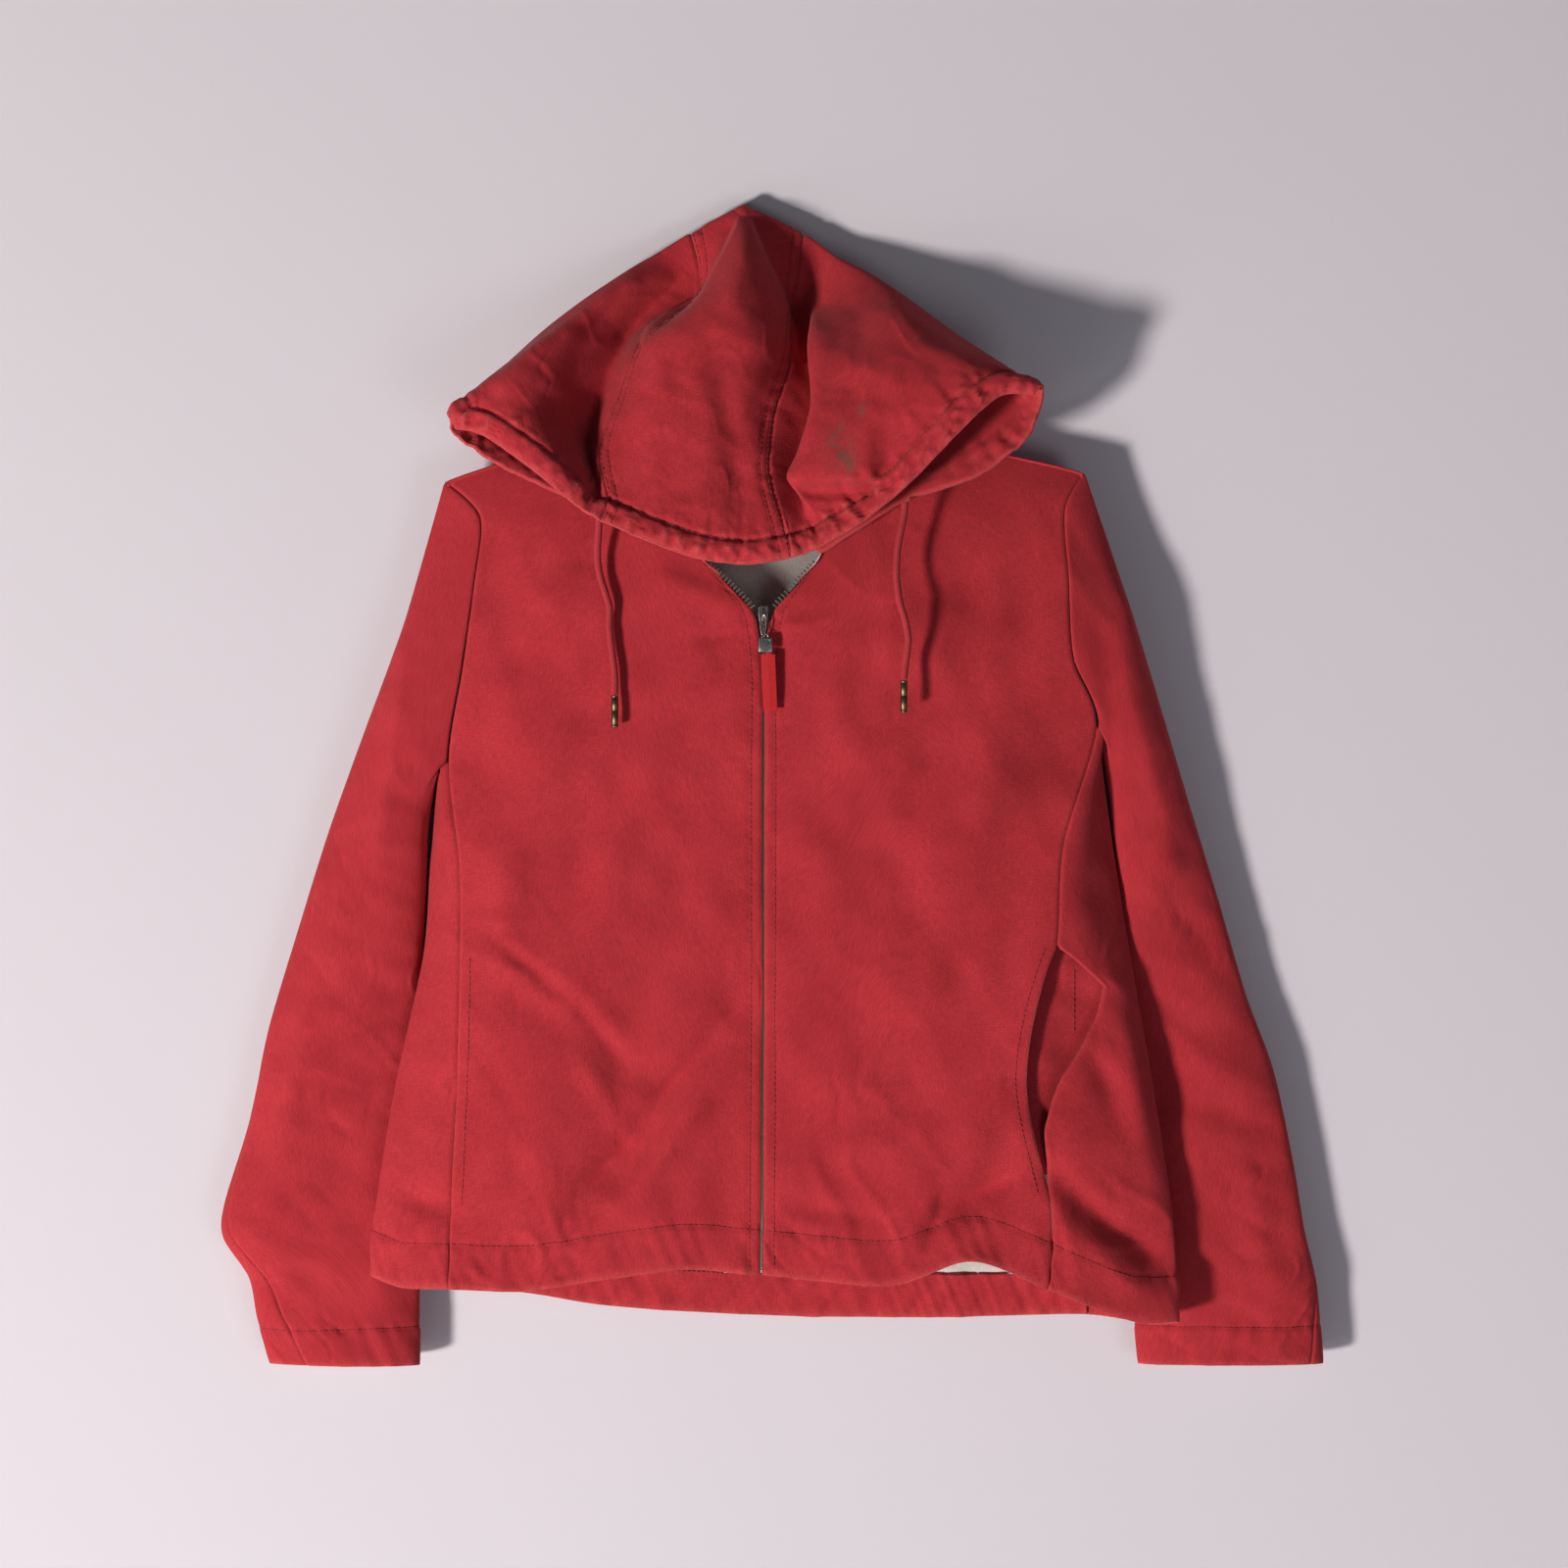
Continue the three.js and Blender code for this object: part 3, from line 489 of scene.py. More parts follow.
def wear_from(grid, edges):
    """How faded the cloth is: most along its seams and turned edges."""
    worn = np.zeros(grid["a"].shape)
    for edge, reach, most in edges:
        worn = np.maximum(worn, most * np.exp(-((from_edge(grid, edge) / reach) ** 1.3)))
    return worn


def panel(name, grid, thick, worn, materials, node_names, body_name="hoodie", stain=None):
    """The finished panel: an outer face, an inner face one cloth thickness in, and its cut edges."""
    rows, columns = grid["a"].shape
    thick = np.broadcast_to(np.asarray(thick, float), (rows, columns))
    outer = grid["place"].reshape(-1, 3)
    inner = (grid["place"] - grid["normal"] * thick[..., None]).reshape(-1, 3)
    n = rows * columns
    index = np.arange(n).reshape(rows, columns)
    quads = np.stack(
        [index[:-1, :-1], index[:-1, 1:], index[1:, 1:], index[1:, :-1]], axis=-1,
    ).reshape(-1, 4)
    back = quads[:, ::-1] + n
    strips = []
    for line in (index[0], index[-1][::-1], index[::-1, 0], index[:, -1]):
        strips.append(np.stack([line[:-1], line[:-1] + n, line[1:] + n, line[1:]], axis=-1))
    sides = np.concatenate(strips)
    faces = np.concatenate([quads, back, sides])
    points = np.concatenate([outer, inner]) * MM
    tri = points[quads[:, :3]]
    out = np.einsum(
        "ij,ij->i", np.cross(tri[:, 1] - tri[:, 0], tri[:, 2] - tri[:, 0]),
        grid["normal"].reshape(-1, 3)[quads[:, 0]],
    )
    if out.sum() < 0:
        faces = faces[:, ::-1]
    made = mesh_object(name, points, faces, materials)
    kinds = [0] * len(quads) + [1 if len(materials) > 1 else 0] * len(back) + [0] * len(sides)
    made.data.polygons.foreach_set("material_index", kinds)
    uv = np.stack([grid["run_u"], grid["run_v"]], axis=-1).reshape(-1, 2) * MM
    uv = np.concatenate([uv, uv])
    layer = made.data.uv_layers.new(name="cloth")
    loops = np.zeros(len(made.data.loops), np.int32)
    made.data.loops.foreach_get("vertex_index", loops)
    layer.data.foreach_set("uv", uv[loops].ravel())
    for label, values in (
        ("wear", worn), ("stain", np.zeros((rows, columns)) if stain is None else stain),
    ):
        attribute = made.data.attributes.new(label, "FLOAT", "POINT")
        flat = np.clip(values, 0, 1).reshape(-1)
        attribute.data.foreach_set("value", np.concatenate([flat, flat]))
    made.data.update()
    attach(made, body_name)
    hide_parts(*node_names)
    return made


def stitches(name, runs, colour_material, carrier, long=3.1, space_mm=0.9, wide=0.5, high=0.32):
    """Rows of thread: each stitch is a small raised dash that sinks into the cloth at both ends."""
    points, faces = [], []
    shape = ((0.0, 0.25), (0.2, 1.0), (0.8, 1.0), (1.0, 0.25))
    for line, normals in runs:
        line = np.asarray(line)
        steps = np.linalg.norm(np.diff(line, axis=0), axis=1)
        run = np.concatenate([[0], np.cumsum(steps)])
        count = int(run[-1] / (long + space_mm))
        for k in range(count):
            start = k * (long + space_mm) + space_mm / 2
            rings = []
            for f, size in shape:
                s = start + f * long
                p = np.array([np.interp(s, run, line[:, i]) for i in range(3)])
                m = np.array([np.interp(s, run, normals[:, i]) for i in range(3)])
                rings.append((p, m, size))
            d = rings[-1][0] - rings[0][0]
            d /= max(np.linalg.norm(d), 1e-9)
            base = len(points)
            for p, m, size in rings:
                m = m / max(np.linalg.norm(m), 1e-9)
                w = np.cross(d, m) * wide * 0.5 * (0.5 + 0.5 * size)
                up = m * high * size
                points += [
                    (p - w - m * 0.25) * MM, (p - w * 0.7 + up) * MM, (p + w * 0.7 + up) * MM,
                    (p + w - m * 0.25) * MM,
                ]
            for r in range(3):
                for q in range(3):
                    i = base + r * 4 + q
                    faces.append((i, i + 1, i + 5, i + 4))
    made = mesh_object(name, points, faces, [colour_material])
    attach(made, carrier)
    return made


def canvas_material(name, deep, main, pale, dirt):
    """Washed cotton canvas: red yarn, unevenly faded, palest along its worn edges, with a dusty nap."""
    made = new_material(name)
    t = made.node_tree
    uv = node(t, "ShaderNodeUVMap", {"uv_map": "cloth"})
    worn = node(t, "ShaderNodeAttribute", {"attribute_name": "wear"})
    marks = node(t, "ShaderNodeAttribute", {"attribute_name": "stain"})
    place = node(t, "ShaderNodeTexCoord")
    # cloudy fading a few centimetres across, and a nap of short fibres about a millimetre across
    clouds = node(
        t, "ShaderNodeTexNoise", {"Scale": 1 / 0.045, "Detail": 5.0, "Roughness": 0.6},
        {"Vector": place.outputs["Object"]},
    )
    nap = node(
        t, "ShaderNodeTexNoise", {"Scale": 1 / 0.0016, "Detail": 3.0, "Roughness": 0.7},
        {"Vector": place.outputs["Object"]},
    )
    # yarns 0.55 mm apart, drawn at 1.1 mm so that they show
    stretched = node(
        t, "ShaderNodeMapping", {"Scale": (1 / 0.0011, 1 / 0.006, 1.0)}, {"Vector": uv.outputs[0]},
    )
    warp = node(t, "ShaderNodeTexNoise", {"Scale": 1.0, "Detail": 2.0}, {"Vector": stretched.outputs[0]})
    crossed = node(
        t, "ShaderNodeMapping", {"Scale": (1 / 0.006, 1 / 0.0011, 1.0)}, {"Vector": uv.outputs[0]},
    )
    weft = node(t, "ShaderNodeTexNoise", {"Scale": 1.0, "Detail": 2.0}, {"Vector": crossed.outputs[0]})
    yarns = node(
        t, "ShaderNodeMath", {"operation": "ADD"}, {0: warp.outputs["Fac"], 1: weft.outputs["Fac"]},
    )
    cloud_fac = node(
        t, "ShaderNodeMapRange", {"From Min": 0.2, "From Max": 0.8}, {"Value": clouds.outputs["Fac"]},
    )
    base = node(
        t, "ShaderNodeMix", {"data_type": "RGBA", 6: linear(deep), 7: linear(main)},
        {0: cloud_fac.outputs[0]},
    )
    yarn_fac = node(
        t, "ShaderNodeMapRange", {"From Min": 0.75, "From Max": 1.25, "To Min": 0.86, "To Max": 1.14},
        {"Value": yarns.outputs[0]},
    )
    nap_fac = node(
        t, "ShaderNodeMapRange", {"From Min": 0.3, "From Max": 0.7, "To Min": 0.93, "To Max": 1.07},
        {"Value": nap.outputs["Fac"]},
    )
    tones = node(
        t, "ShaderNodeMath", {"operation": "MULTIPLY"}, {0: yarn_fac.outputs[0], 1: nap_fac.outputs[0]},
    )
    toned = node(
        t, "ShaderNodeVectorMath", {"operation": "SCALE"}, {0: base.outputs[2], "Scale": tones.outputs[0]},
    )
    worn_noise = node(
        t, "ShaderNodeMapRange", {"From Min": 0.35, "From Max": 0.62, "To Min": 0.25},
        {"Value": nap.outputs["Fac"]},
    )
    worn_fac = node(
        t, "ShaderNodeMath", {"operation": "MULTIPLY"}, {0: worn.outputs["Fac"], 1: worn_noise.outputs[0]},
    )
    faded = node(
        t, "ShaderNodeMix", {"data_type": "RGBA", 7: linear(pale)},
        {0: worn_fac.outputs[0], 6: toned.outputs[0]},
    )
    stain_noise = node(
        t, "ShaderNodeTexNoise", {"Scale": 1 / 0.006, "Detail": 4.0}, {"Vector": place.outputs["Object"]},
    )
    stain_cut = node(
        t, "ShaderNodeMapRange", {"From Min": 0.4, "From Max": 0.6}, {"Value": stain_noise.outputs["Fac"]},
    )
    stain_fac = node(
        t, "ShaderNodeMath", {"operation": "MULTIPLY"}, {0: marks.outputs["Fac"], 1: stain_cut.outputs[0]},
    )
    stained = node(
        t, "ShaderNodeMix", {"data_type": "RGBA", 7: linear(dirt)},
        {0: stain_fac.outputs[0], 6: faded.outputs[2]},
    )
    height = node(
        t, "ShaderNodeMath", {"operation": "MULTIPLY_ADD", 1: 0.6},
        {0: nap.outputs["Fac"], 2: yarns.outputs[0]},
    )
    bump = node(t, "ShaderNodeBump", {"Strength": 0.5, "Distance": 0.0004}, {"Height": height.outputs[0]})
    shader = node(
        t, "ShaderNodeBsdfPrincipled",
        {"Roughness": 0.92, "Specular IOR Level": 0.2, "Sheen Weight": 0.06, "Sheen Roughness": 0.5},
        {"Base Color": stained.outputs[2], "Normal": bump.outputs[0]},
    )
    output(t, shader)
    return made


def jersey_material(name, light, dark):
    """Heather jersey lining: pale grey knit flecked with darker fibres."""
    made = new_material(name)
    t = made.node_tree
    uv = node(t, "ShaderNodeUVMap", {"uv_map": "cloth"})
    # flecks 1 mm by 4 mm, along the knit's wales
    stretched = node(
        t, "ShaderNodeMapping", {"Scale": (1 / 0.001, 1 / 0.004, 1.0)}, {"Vector": uv.outputs[0]},
    )
    flecks = node(
        t, "ShaderNodeTexNoise", {"Scale": 1.0, "Detail": 3.0}, {"Vector": stretched.outputs[0]},
    )
    tone = node(
        t, "ShaderNodeMix", {"data_type": "RGBA", 6: linear(dark), 7: linear(light)},
        {0: flecks.outputs["Fac"]},
    )
    bump = node(
        t, "ShaderNodeBump", {"Strength": 0.4, "Distance": 0.0003}, {"Height": flecks.outputs["Fac"]},
    )
    shader = node(
        t, "ShaderNodeBsdfPrincipled",
        {"Roughness": 0.95, "Specular IOR Level": 0.15, "Sheen Weight": 0.2},
        {"Base Color": tone.outputs[2], "Normal": bump.outputs[0]},
    )
    output(t, shader)
    return made


def thread_material(name, colour, shine):
    """Polyester sewing thread, a little glossier than the cloth."""
    made = new_material(name)
    t = made.node_tree
    place = node(t, "ShaderNodeTexCoord")
    twist = node(t, "ShaderNodeTexNoise", {"Scale": 1 / 0.0012}, {"Vector": place.outputs["Object"]})
    tone = node(
        t, "ShaderNodeMix", {"data_type": "RGBA", 6: linear(colour), 7: linear(shine)},
        {0: twist.outputs["Fac"]},
    )
    shader = node(t, "ShaderNodeBsdfPrincipled", {"Roughness": 0.6}, {"Base Color": tone.outputs[2]})
    output(t, shader)
    return made


canvas = canvas_material("washed_red_canvas", "#a0262f", "#b23139", "#c04c4c", "#6a4a42")
jersey = jersey_material("heather_jersey", "#e2dcd8", "#a8a3a0")
thread = thread_material("red_sewing_thread", "#6d141b", "#96323a")
GAP = 0.0025
HEM = 31


def body_rows(v):
    return np.where(v < 0.4, 0.02 + (4 - 0.02) * v / 0.4, 4 + 5 * (v - 0.4) / 0.6)


def pocket_pull(b, peak):
    """How far the front edge of the left pocket's mouth has dropped open, 0 to 1, from top to end."""
    f = np.clip((b - 6.0) / 1.72, 0, 1)
    return np.clip(np.sin(np.pi * f ** peak), 0, 1)


def pocket_corner(b):
    """The side panel's edge runs out straight to a corner, then back along a drooping line."""
    return np.interp(b, (6.0, 6.12, 6.24, 6.6, 6.9, 7.3, 7.72), (0, 0.5, 1.0, 0.62, 0.3, 0.06, 0))


def finish_hem(grid):
    """The turned-up hem stands a little proud of the panel, with one row of stitching along its top."""
    away, along = from_edge(grid, "bottom"), grid["run_u"]
    grid["rise"] += 0.7 * smooth_step(HEM - away, -1, 3) * (1 - 0.5 * np.exp(-((away / 2.5) ** 2)))
    band = smooth_step(HEM - away, -6, 2) * smooth_step(away, 0, 6)
    waves = 0.7 * ripple(along + 0.8 * away, 0.5 * away, 34, 31)
    waves += 0.3 * ripple(along - 0.4 * away, 0 * along, 12, 32)
    grid["rise"] += band * waves
    row_of_stitching(grid, "bottom", HEM, 0.45)


def hem_thick(grid):
    return np.where(from_edge(grid, "bottom") < HEM, 2.4, CLOTH)


rows_front = np.sort(np.concatenate([np.linspace(0, 1, 190), 1 - np.array([0.6, 1.2, 2.2]) / 600]))
front_seams = [("start", 2.0, 0.22), ("end", 2.0, 0.22), ("bottom", 2.6, 0.9), ("top", 2, 0.1)]

# the zip edge reaches a hair past the net's first and last columns
PAST_ZIP = 0.017


def front_right_edges(u, v):
    return -PAST_ZIP + (R_PRINCESS - GAP + PAST_ZIP) * u, body_rows(v)


def front_left_edges(u, v):
    pocket_edge = L_PRINCESS + GAP + 0.2 * pocket_pull(body_rows(v), 0.8)
    return pocket_edge * (1 - u) + (BODY_LAST + PAST_ZIP) * u, body_rows(v)


grid = cut(body, front_right_edges, spread(210, 2.4, True, True), rows_front, 1)
roll_seams(grid, ("start", "end", "top"))
row_of_stitching(grid, "start", 7.5, 0.6)
finish_hem(grid)
settle(grid)
worn = wear_from(grid, front_seams)
front_right = panel(
    "front_right_canvas", grid, hem_thick(grid), worn, [canvas, jersey], ["front_right"],
)
pocket_rows = (grid["b"][:, -1] > 6.0) & (grid["b"][:, -1] < 7.9)
line, normals = line_at(grid, "end", 8.0)
runs_right = [
    line_at(grid, "start", 7.5), (line[pocket_rows], normals[pocket_rows]), line_at(grid, "bottom", HEM),
]
sewn = stitches("front_right_stitching", runs_right, thread, "hoodie")

grid = cut(body, front_left_edges, spread(205, 2.4, True, True), rows_front, 1)
roll_seams(grid, ("start", "end", "top"))
row_of_stitching(grid, "end", 7.5, 0.6)
finish_hem(grid)
settle(grid)
worn = wear_from(grid, front_seams)
# the pocket's edge is rubbed pale
rubbed = 0.9 * smooth_step(grid["b"], 6.1, 6.4) * smooth_step(7.8 - grid["b"], 0, 0.3)
worn = np.maximum(worn, rubbed * np.exp(-((from_edge(grid, "start") / 1.8) ** 2)))
front_left = panel(
    "front_left_canvas", grid, hem_thick(grid), worn, [canvas, jersey], ["front_left"],
)
pocket_rows = (grid["b"][:, 0] > 6.0) & (grid["b"][:, 0] < 7.8)
line, normals = line_at(grid, "start", 8.0)
runs_left = [
    line_at(grid, "end", 7.5), (line[pocket_rows], normals[pocket_rows]), line_at(grid, "bottom", HEM),
]
sewn = stitches("front_left_stitching", runs_left, thread, "hoodie")

rows_side = np.sort(np.concatenate([np.linspace(0, 1, 130), 1 - np.array([0.6, 1.2, 2.2]) / 370]))
for name, first, last, opening, flat in (
    ("side_right", R_PRINCESS + 2 * GAP, R_BACK - 2 * GAP, 0.0, (0.13, 0.38)),
    ("side_left", L_BACK + 2 * GAP, L_PRINCESS - 2 * GAP, 1.02, (0.16, 0.41)),
):
    def side_edges(u, v, first=first, last=last, opening=opening):
        b = 4 + 5 * v
        # below the pocket the two edges are sewn tight
        tight = (opening > 0) * 1.7 * GAP * smooth_step(b, 7.4, 7.75)
        end = last + tight - opening * pocket_corner(b)
        return first + (end - first) * u, b

    grid = cut(body, side_edges, spread(120, 2.2, True, True), rows_side, 1)
    roll_seams(grid, ("start", "end", "top"))
    finish_hem(grid)
    settle(grid)
    worn = wear_from(grid, [("start", 2.0, 0.12), ("end", 2.0, 0.12), ("bottom", 2.6, 0.9)])
    made = panel(name + "_canvas", grid, hem_thick(grid), worn, [canvas], [name])
    sewn = stitches(name + "_stitching", [line_at(grid, "bottom", HEM)], thread, "hoodie")

grid = cut(
    body, lambda u, v: (R_BACK + GAP + (L_BACK - R_BACK - 2 * GAP) * u, np.maximum(0.04, body_rows(v))),
    spread(440, 3.6, True, True), np.linspace(0, 1, 130), 1,
)
roll_seams(grid, ("start", "end", "top"))
finish_hem(grid)
settle(grid)
worn = wear_from(grid, [("start", 2.0, 0.15), ("end", 2.0, 0.15), ("bottom", 2.6, 0.9)])
back = panel("back_canvas", grid, CLOTH, worn, [canvas], ["back"])
sewn = stitches("back_stitching", [line_at(grid, "bottom", HEM)], thread, "hoodie")


# ---- Sleeves ----
# Two-piece sleeves set into the armholes: a wide upper piece and a narrow under piece, joined at an elbow
# seam that comes round to the front towards the cuff. The cuff is turned up 27 mm and stitched once.
# Each ring: outer edge (x, z), inner edge (x, z), distance of its middle from the wall, half depth, in mm.
RIGHT_RINGS = [
    [[-238, -290], [-220, -432], 31, 20],
    [[-264, -360], [-222, -478], 28, 20],
    [[-290, -432], [-225, -524], 26, 19],
    [[-313, -505], [-227, -570], 24, 18],
    [[-333, -572], [-227, -615], 23, 17],
    [[-347, -638], [-227, -660], 22, 17],
    [[-364, -694], [-227, -704], 22, 17],
    [[-365, -718], [-227, -728], 21, 17],
    [[-347, -746], [-227, -752], 21, 16],
    [[-341, -775], [-227, -777], 21, 16],
    [[-332, -806], [-227, -807], 21, 15],
]
LEFT_RINGS = [
    [[268, -268], [256, -412], 31, 20],
    [[290, -338], [260, -456], 27, 19],
    [[311, -408], [262, -504], 24, 18],
    [[333, -480], [263, -556], 22, 17],
    [[353, -548], [265, -604], 21, 16],
    [[372, -600], [267, -646], 21, 16],
    [[385, -660], [269, -690], 21, 16],
    [[394, -712], [271, -728], 21, 16],
    [[402, -748], [273, -757], 21, 16],
    [[405, -777], [275, -782], 21, 15],
    [[407, -806], [277, -806], 21, 15],
]
RIGHT_SLEEVE_FOLDS = [
    [-233, -279, -254, -454, 7, 2],
    [-250, -300, -290, -450, 10, -2],
    [-230, -560, -320, -585, 9, -2],
    [-232, -600, -310, -640, 8, 2],
    [-300, -520, -330, -700, 10, 2],
    [-235, -640, -300, -680, 9, -2],
    [-250, -700, -255, -800, 12, 1.5],
]
LEFT_SLEEVE_FOLDS = [
    [262, -300, 300, -450, 9, 2.5],
    [245, -290, 262, -420, 7, -2.5],
    [300, -480, 350, -560, 10, -2],
    [275, -560, 350, -610, 9, 2],
    [290, -620, 370, -640, 9, -2],
    [300, -650, 310, -780, 12, 1.8],
    [350, -650, 372, -760, 10, 1.5],
]
CUFF = 27


def armhole(front, under, back_column, f):
    """The armhole's edge: f runs from the shoulder point down the front, under the arm and up the back."""
    f = f % 1.0
    a = np.select(
        [f < 0.36, f < 0.5, f < 0.64],
        [
            front + 0 * f, front + (under - front) * (f - 0.36) / 0.14,
            under + (back_column - under) * (f - 0.5) / 0.14,
        ],
        back_column + 0 * f,
    )
    b = np.select([f < 0.36, f < 0.64], [f / 0.36 * 4, 4 + 0 * f], (1 - f) / 0.36 * 4)
    return body(a, b)


def sleeve_surface(rings, columns, sign, folds):
    def surface(f, v):
        angle = f * 2 * np.pi
        first = armhole(*columns, f)
        first = first + np.array([sign * 0.7, 0.0, 0.0])
        places = [first]
        cs, sn = np.cos(angle), np.sin(angle)
        flat = np.sign(sn) * np.abs(sn) ** 0.85
        for outer, inner, middle, deep in rings:
            places.append(np.stack([
                inner[0] + (outer[0] - inner[0]) * (1 + cs) / 2,
                inner[1] + (outer[1] - inner[1]) * (1 + cs) / 2,
                middle + deep * flat,
            ], axis=-1))
        places = np.array(places)
        j = np.clip(np.floor(v).astype(int), 0, len(places) - 2)
        around = [
            np.take_along_axis(places, np.clip(j + s, 0, len(places) - 1)[None, ..., None], axis=0)[0]
            for s in (-1, 0, 1, 2)
        ]
        p = cardinal(*around, v - j)
        fade = np.minimum(1, v / 3) * np.minimum(1, (11 - v) / 2 + 0.3)
        x, z = p[..., 0].copy(), p[..., 1].copy()
        wave = 1.6 * np.sin(x / 17 - z / 46) * np.abs(sn) * fade
        p[..., 2] += np.where(sn > 0, 1.0, 0.5) * wave
        front = np.clip(sn * 2, 0, 1) * smooth_step(v, 0.2, 1.2)
        rear = np.clip(-sn * 2, 0, 1) * smooth_step(v, 0.2, 1.2)
        p[..., 2] += front * (
            fold_height(x, z, folds) + 0.8 * ripple(x, z, 60, 11) + 0.35 * ripple(x, z, 26, 12)
        )
        elbow = 0.5 + 0.9 * np.exp(-(((v - 6) / 2.5) ** 2)) + 0.6 * smooth_step(v, 8, 10)
        p[..., 2] += front * elbow * (1.1 * crumple(x, z, 60, 15) - 0.8 * crumple(x, z, 38, 19))
        p[..., 2] -= rear * (0.6 * fold_height(x, z, folds) + 0.5 * ripple(x, z, 50, 13))
        return p
    return surface


def right_seam(v):
    return -0.06 + 0.23 * np.clip((v - 3.4) / 7.6, 0, 1)


def left_seam(v):
    return -0.06 + 0.15 * np.clip((v - 5.5) / 5.5, 0, 1)


SLEEVE_GAP = 0.0005
rows_sleeve = np.sort(np.concatenate([np.linspace(0, 1, 190), 1 - np.array([0.6, 1.2, 2.2]) / 640]))
for name, rings, columns, sign, side, seam, folds in (
    ("sleeve_right", RIGHT_RINGS, (R_PRINCESS, R_FOLD, R_BACK), -1, -1, right_seam, RIGHT_SLEEVE_FOLDS),
    ("sleeve_left", LEFT_RINGS, (L_PRINCESS, L_FOLD, L_BACK), 1, 1, left_seam, LEFT_SLEEVE_FOLDS),
):
    surface = sleeve_surface(rings, columns, sign, folds)
    for part, flat, low, high in (
        ("upper", (0.15, 0.64), lambda v: seam(v) + SLEEVE_GAP, lambda v: 0.52 - SLEEVE_GAP),
        ("under", (0.13, 0.62), lambda v: 0.52 + SLEEVE_GAP, lambda v: 1 + seam(v) - SLEEVE_GAP),
    ):
        def sleeve_edges(u, v, low=low, high=high):
            return low(v * 11) + (high(v * 11) - low(v * 11)) * u, v * 11

        grid = cut(surface, sleeve_edges, spread(200, 2.6, True, True), rows_sleeve, side)
        roll_seams(grid, ("start", "end", "top"))
        away = from_edge(grid, "bottom")
        grid["rise"] += 0.5 * smooth_step(CUFF - away, -1, 3) * (1 - 0.5 * np.exp(-((away / 2.5) ** 2)))
        grid["rise"] += smooth_step(CUFF - away, -6, 2) * 0.3 * ripple(grid["run_u"], 0 * away, 14, 33)
        row_of_stitching(grid, "bottom", CUFF, 0.45)
        settle(grid)
        worn = wear_from(
            grid, [("start", 2.0, 0.2), ("end", 2.0, 0.2), ("top", 2.0, 0.12), ("bottom", 2.6, 0.9)],
        )
        thick = np.where(away < CUFF, 2.4, CLOTH)
        made = panel(
            name + "_" + part + "_canvas", grid, thick, worn, [canvas, jersey], [name + "_" + part],
        )
        sewn = stitches(
            name + "_" + part + "_stitching", [line_at(grid, "bottom", CUFF)], thread, "hoodie",
        )


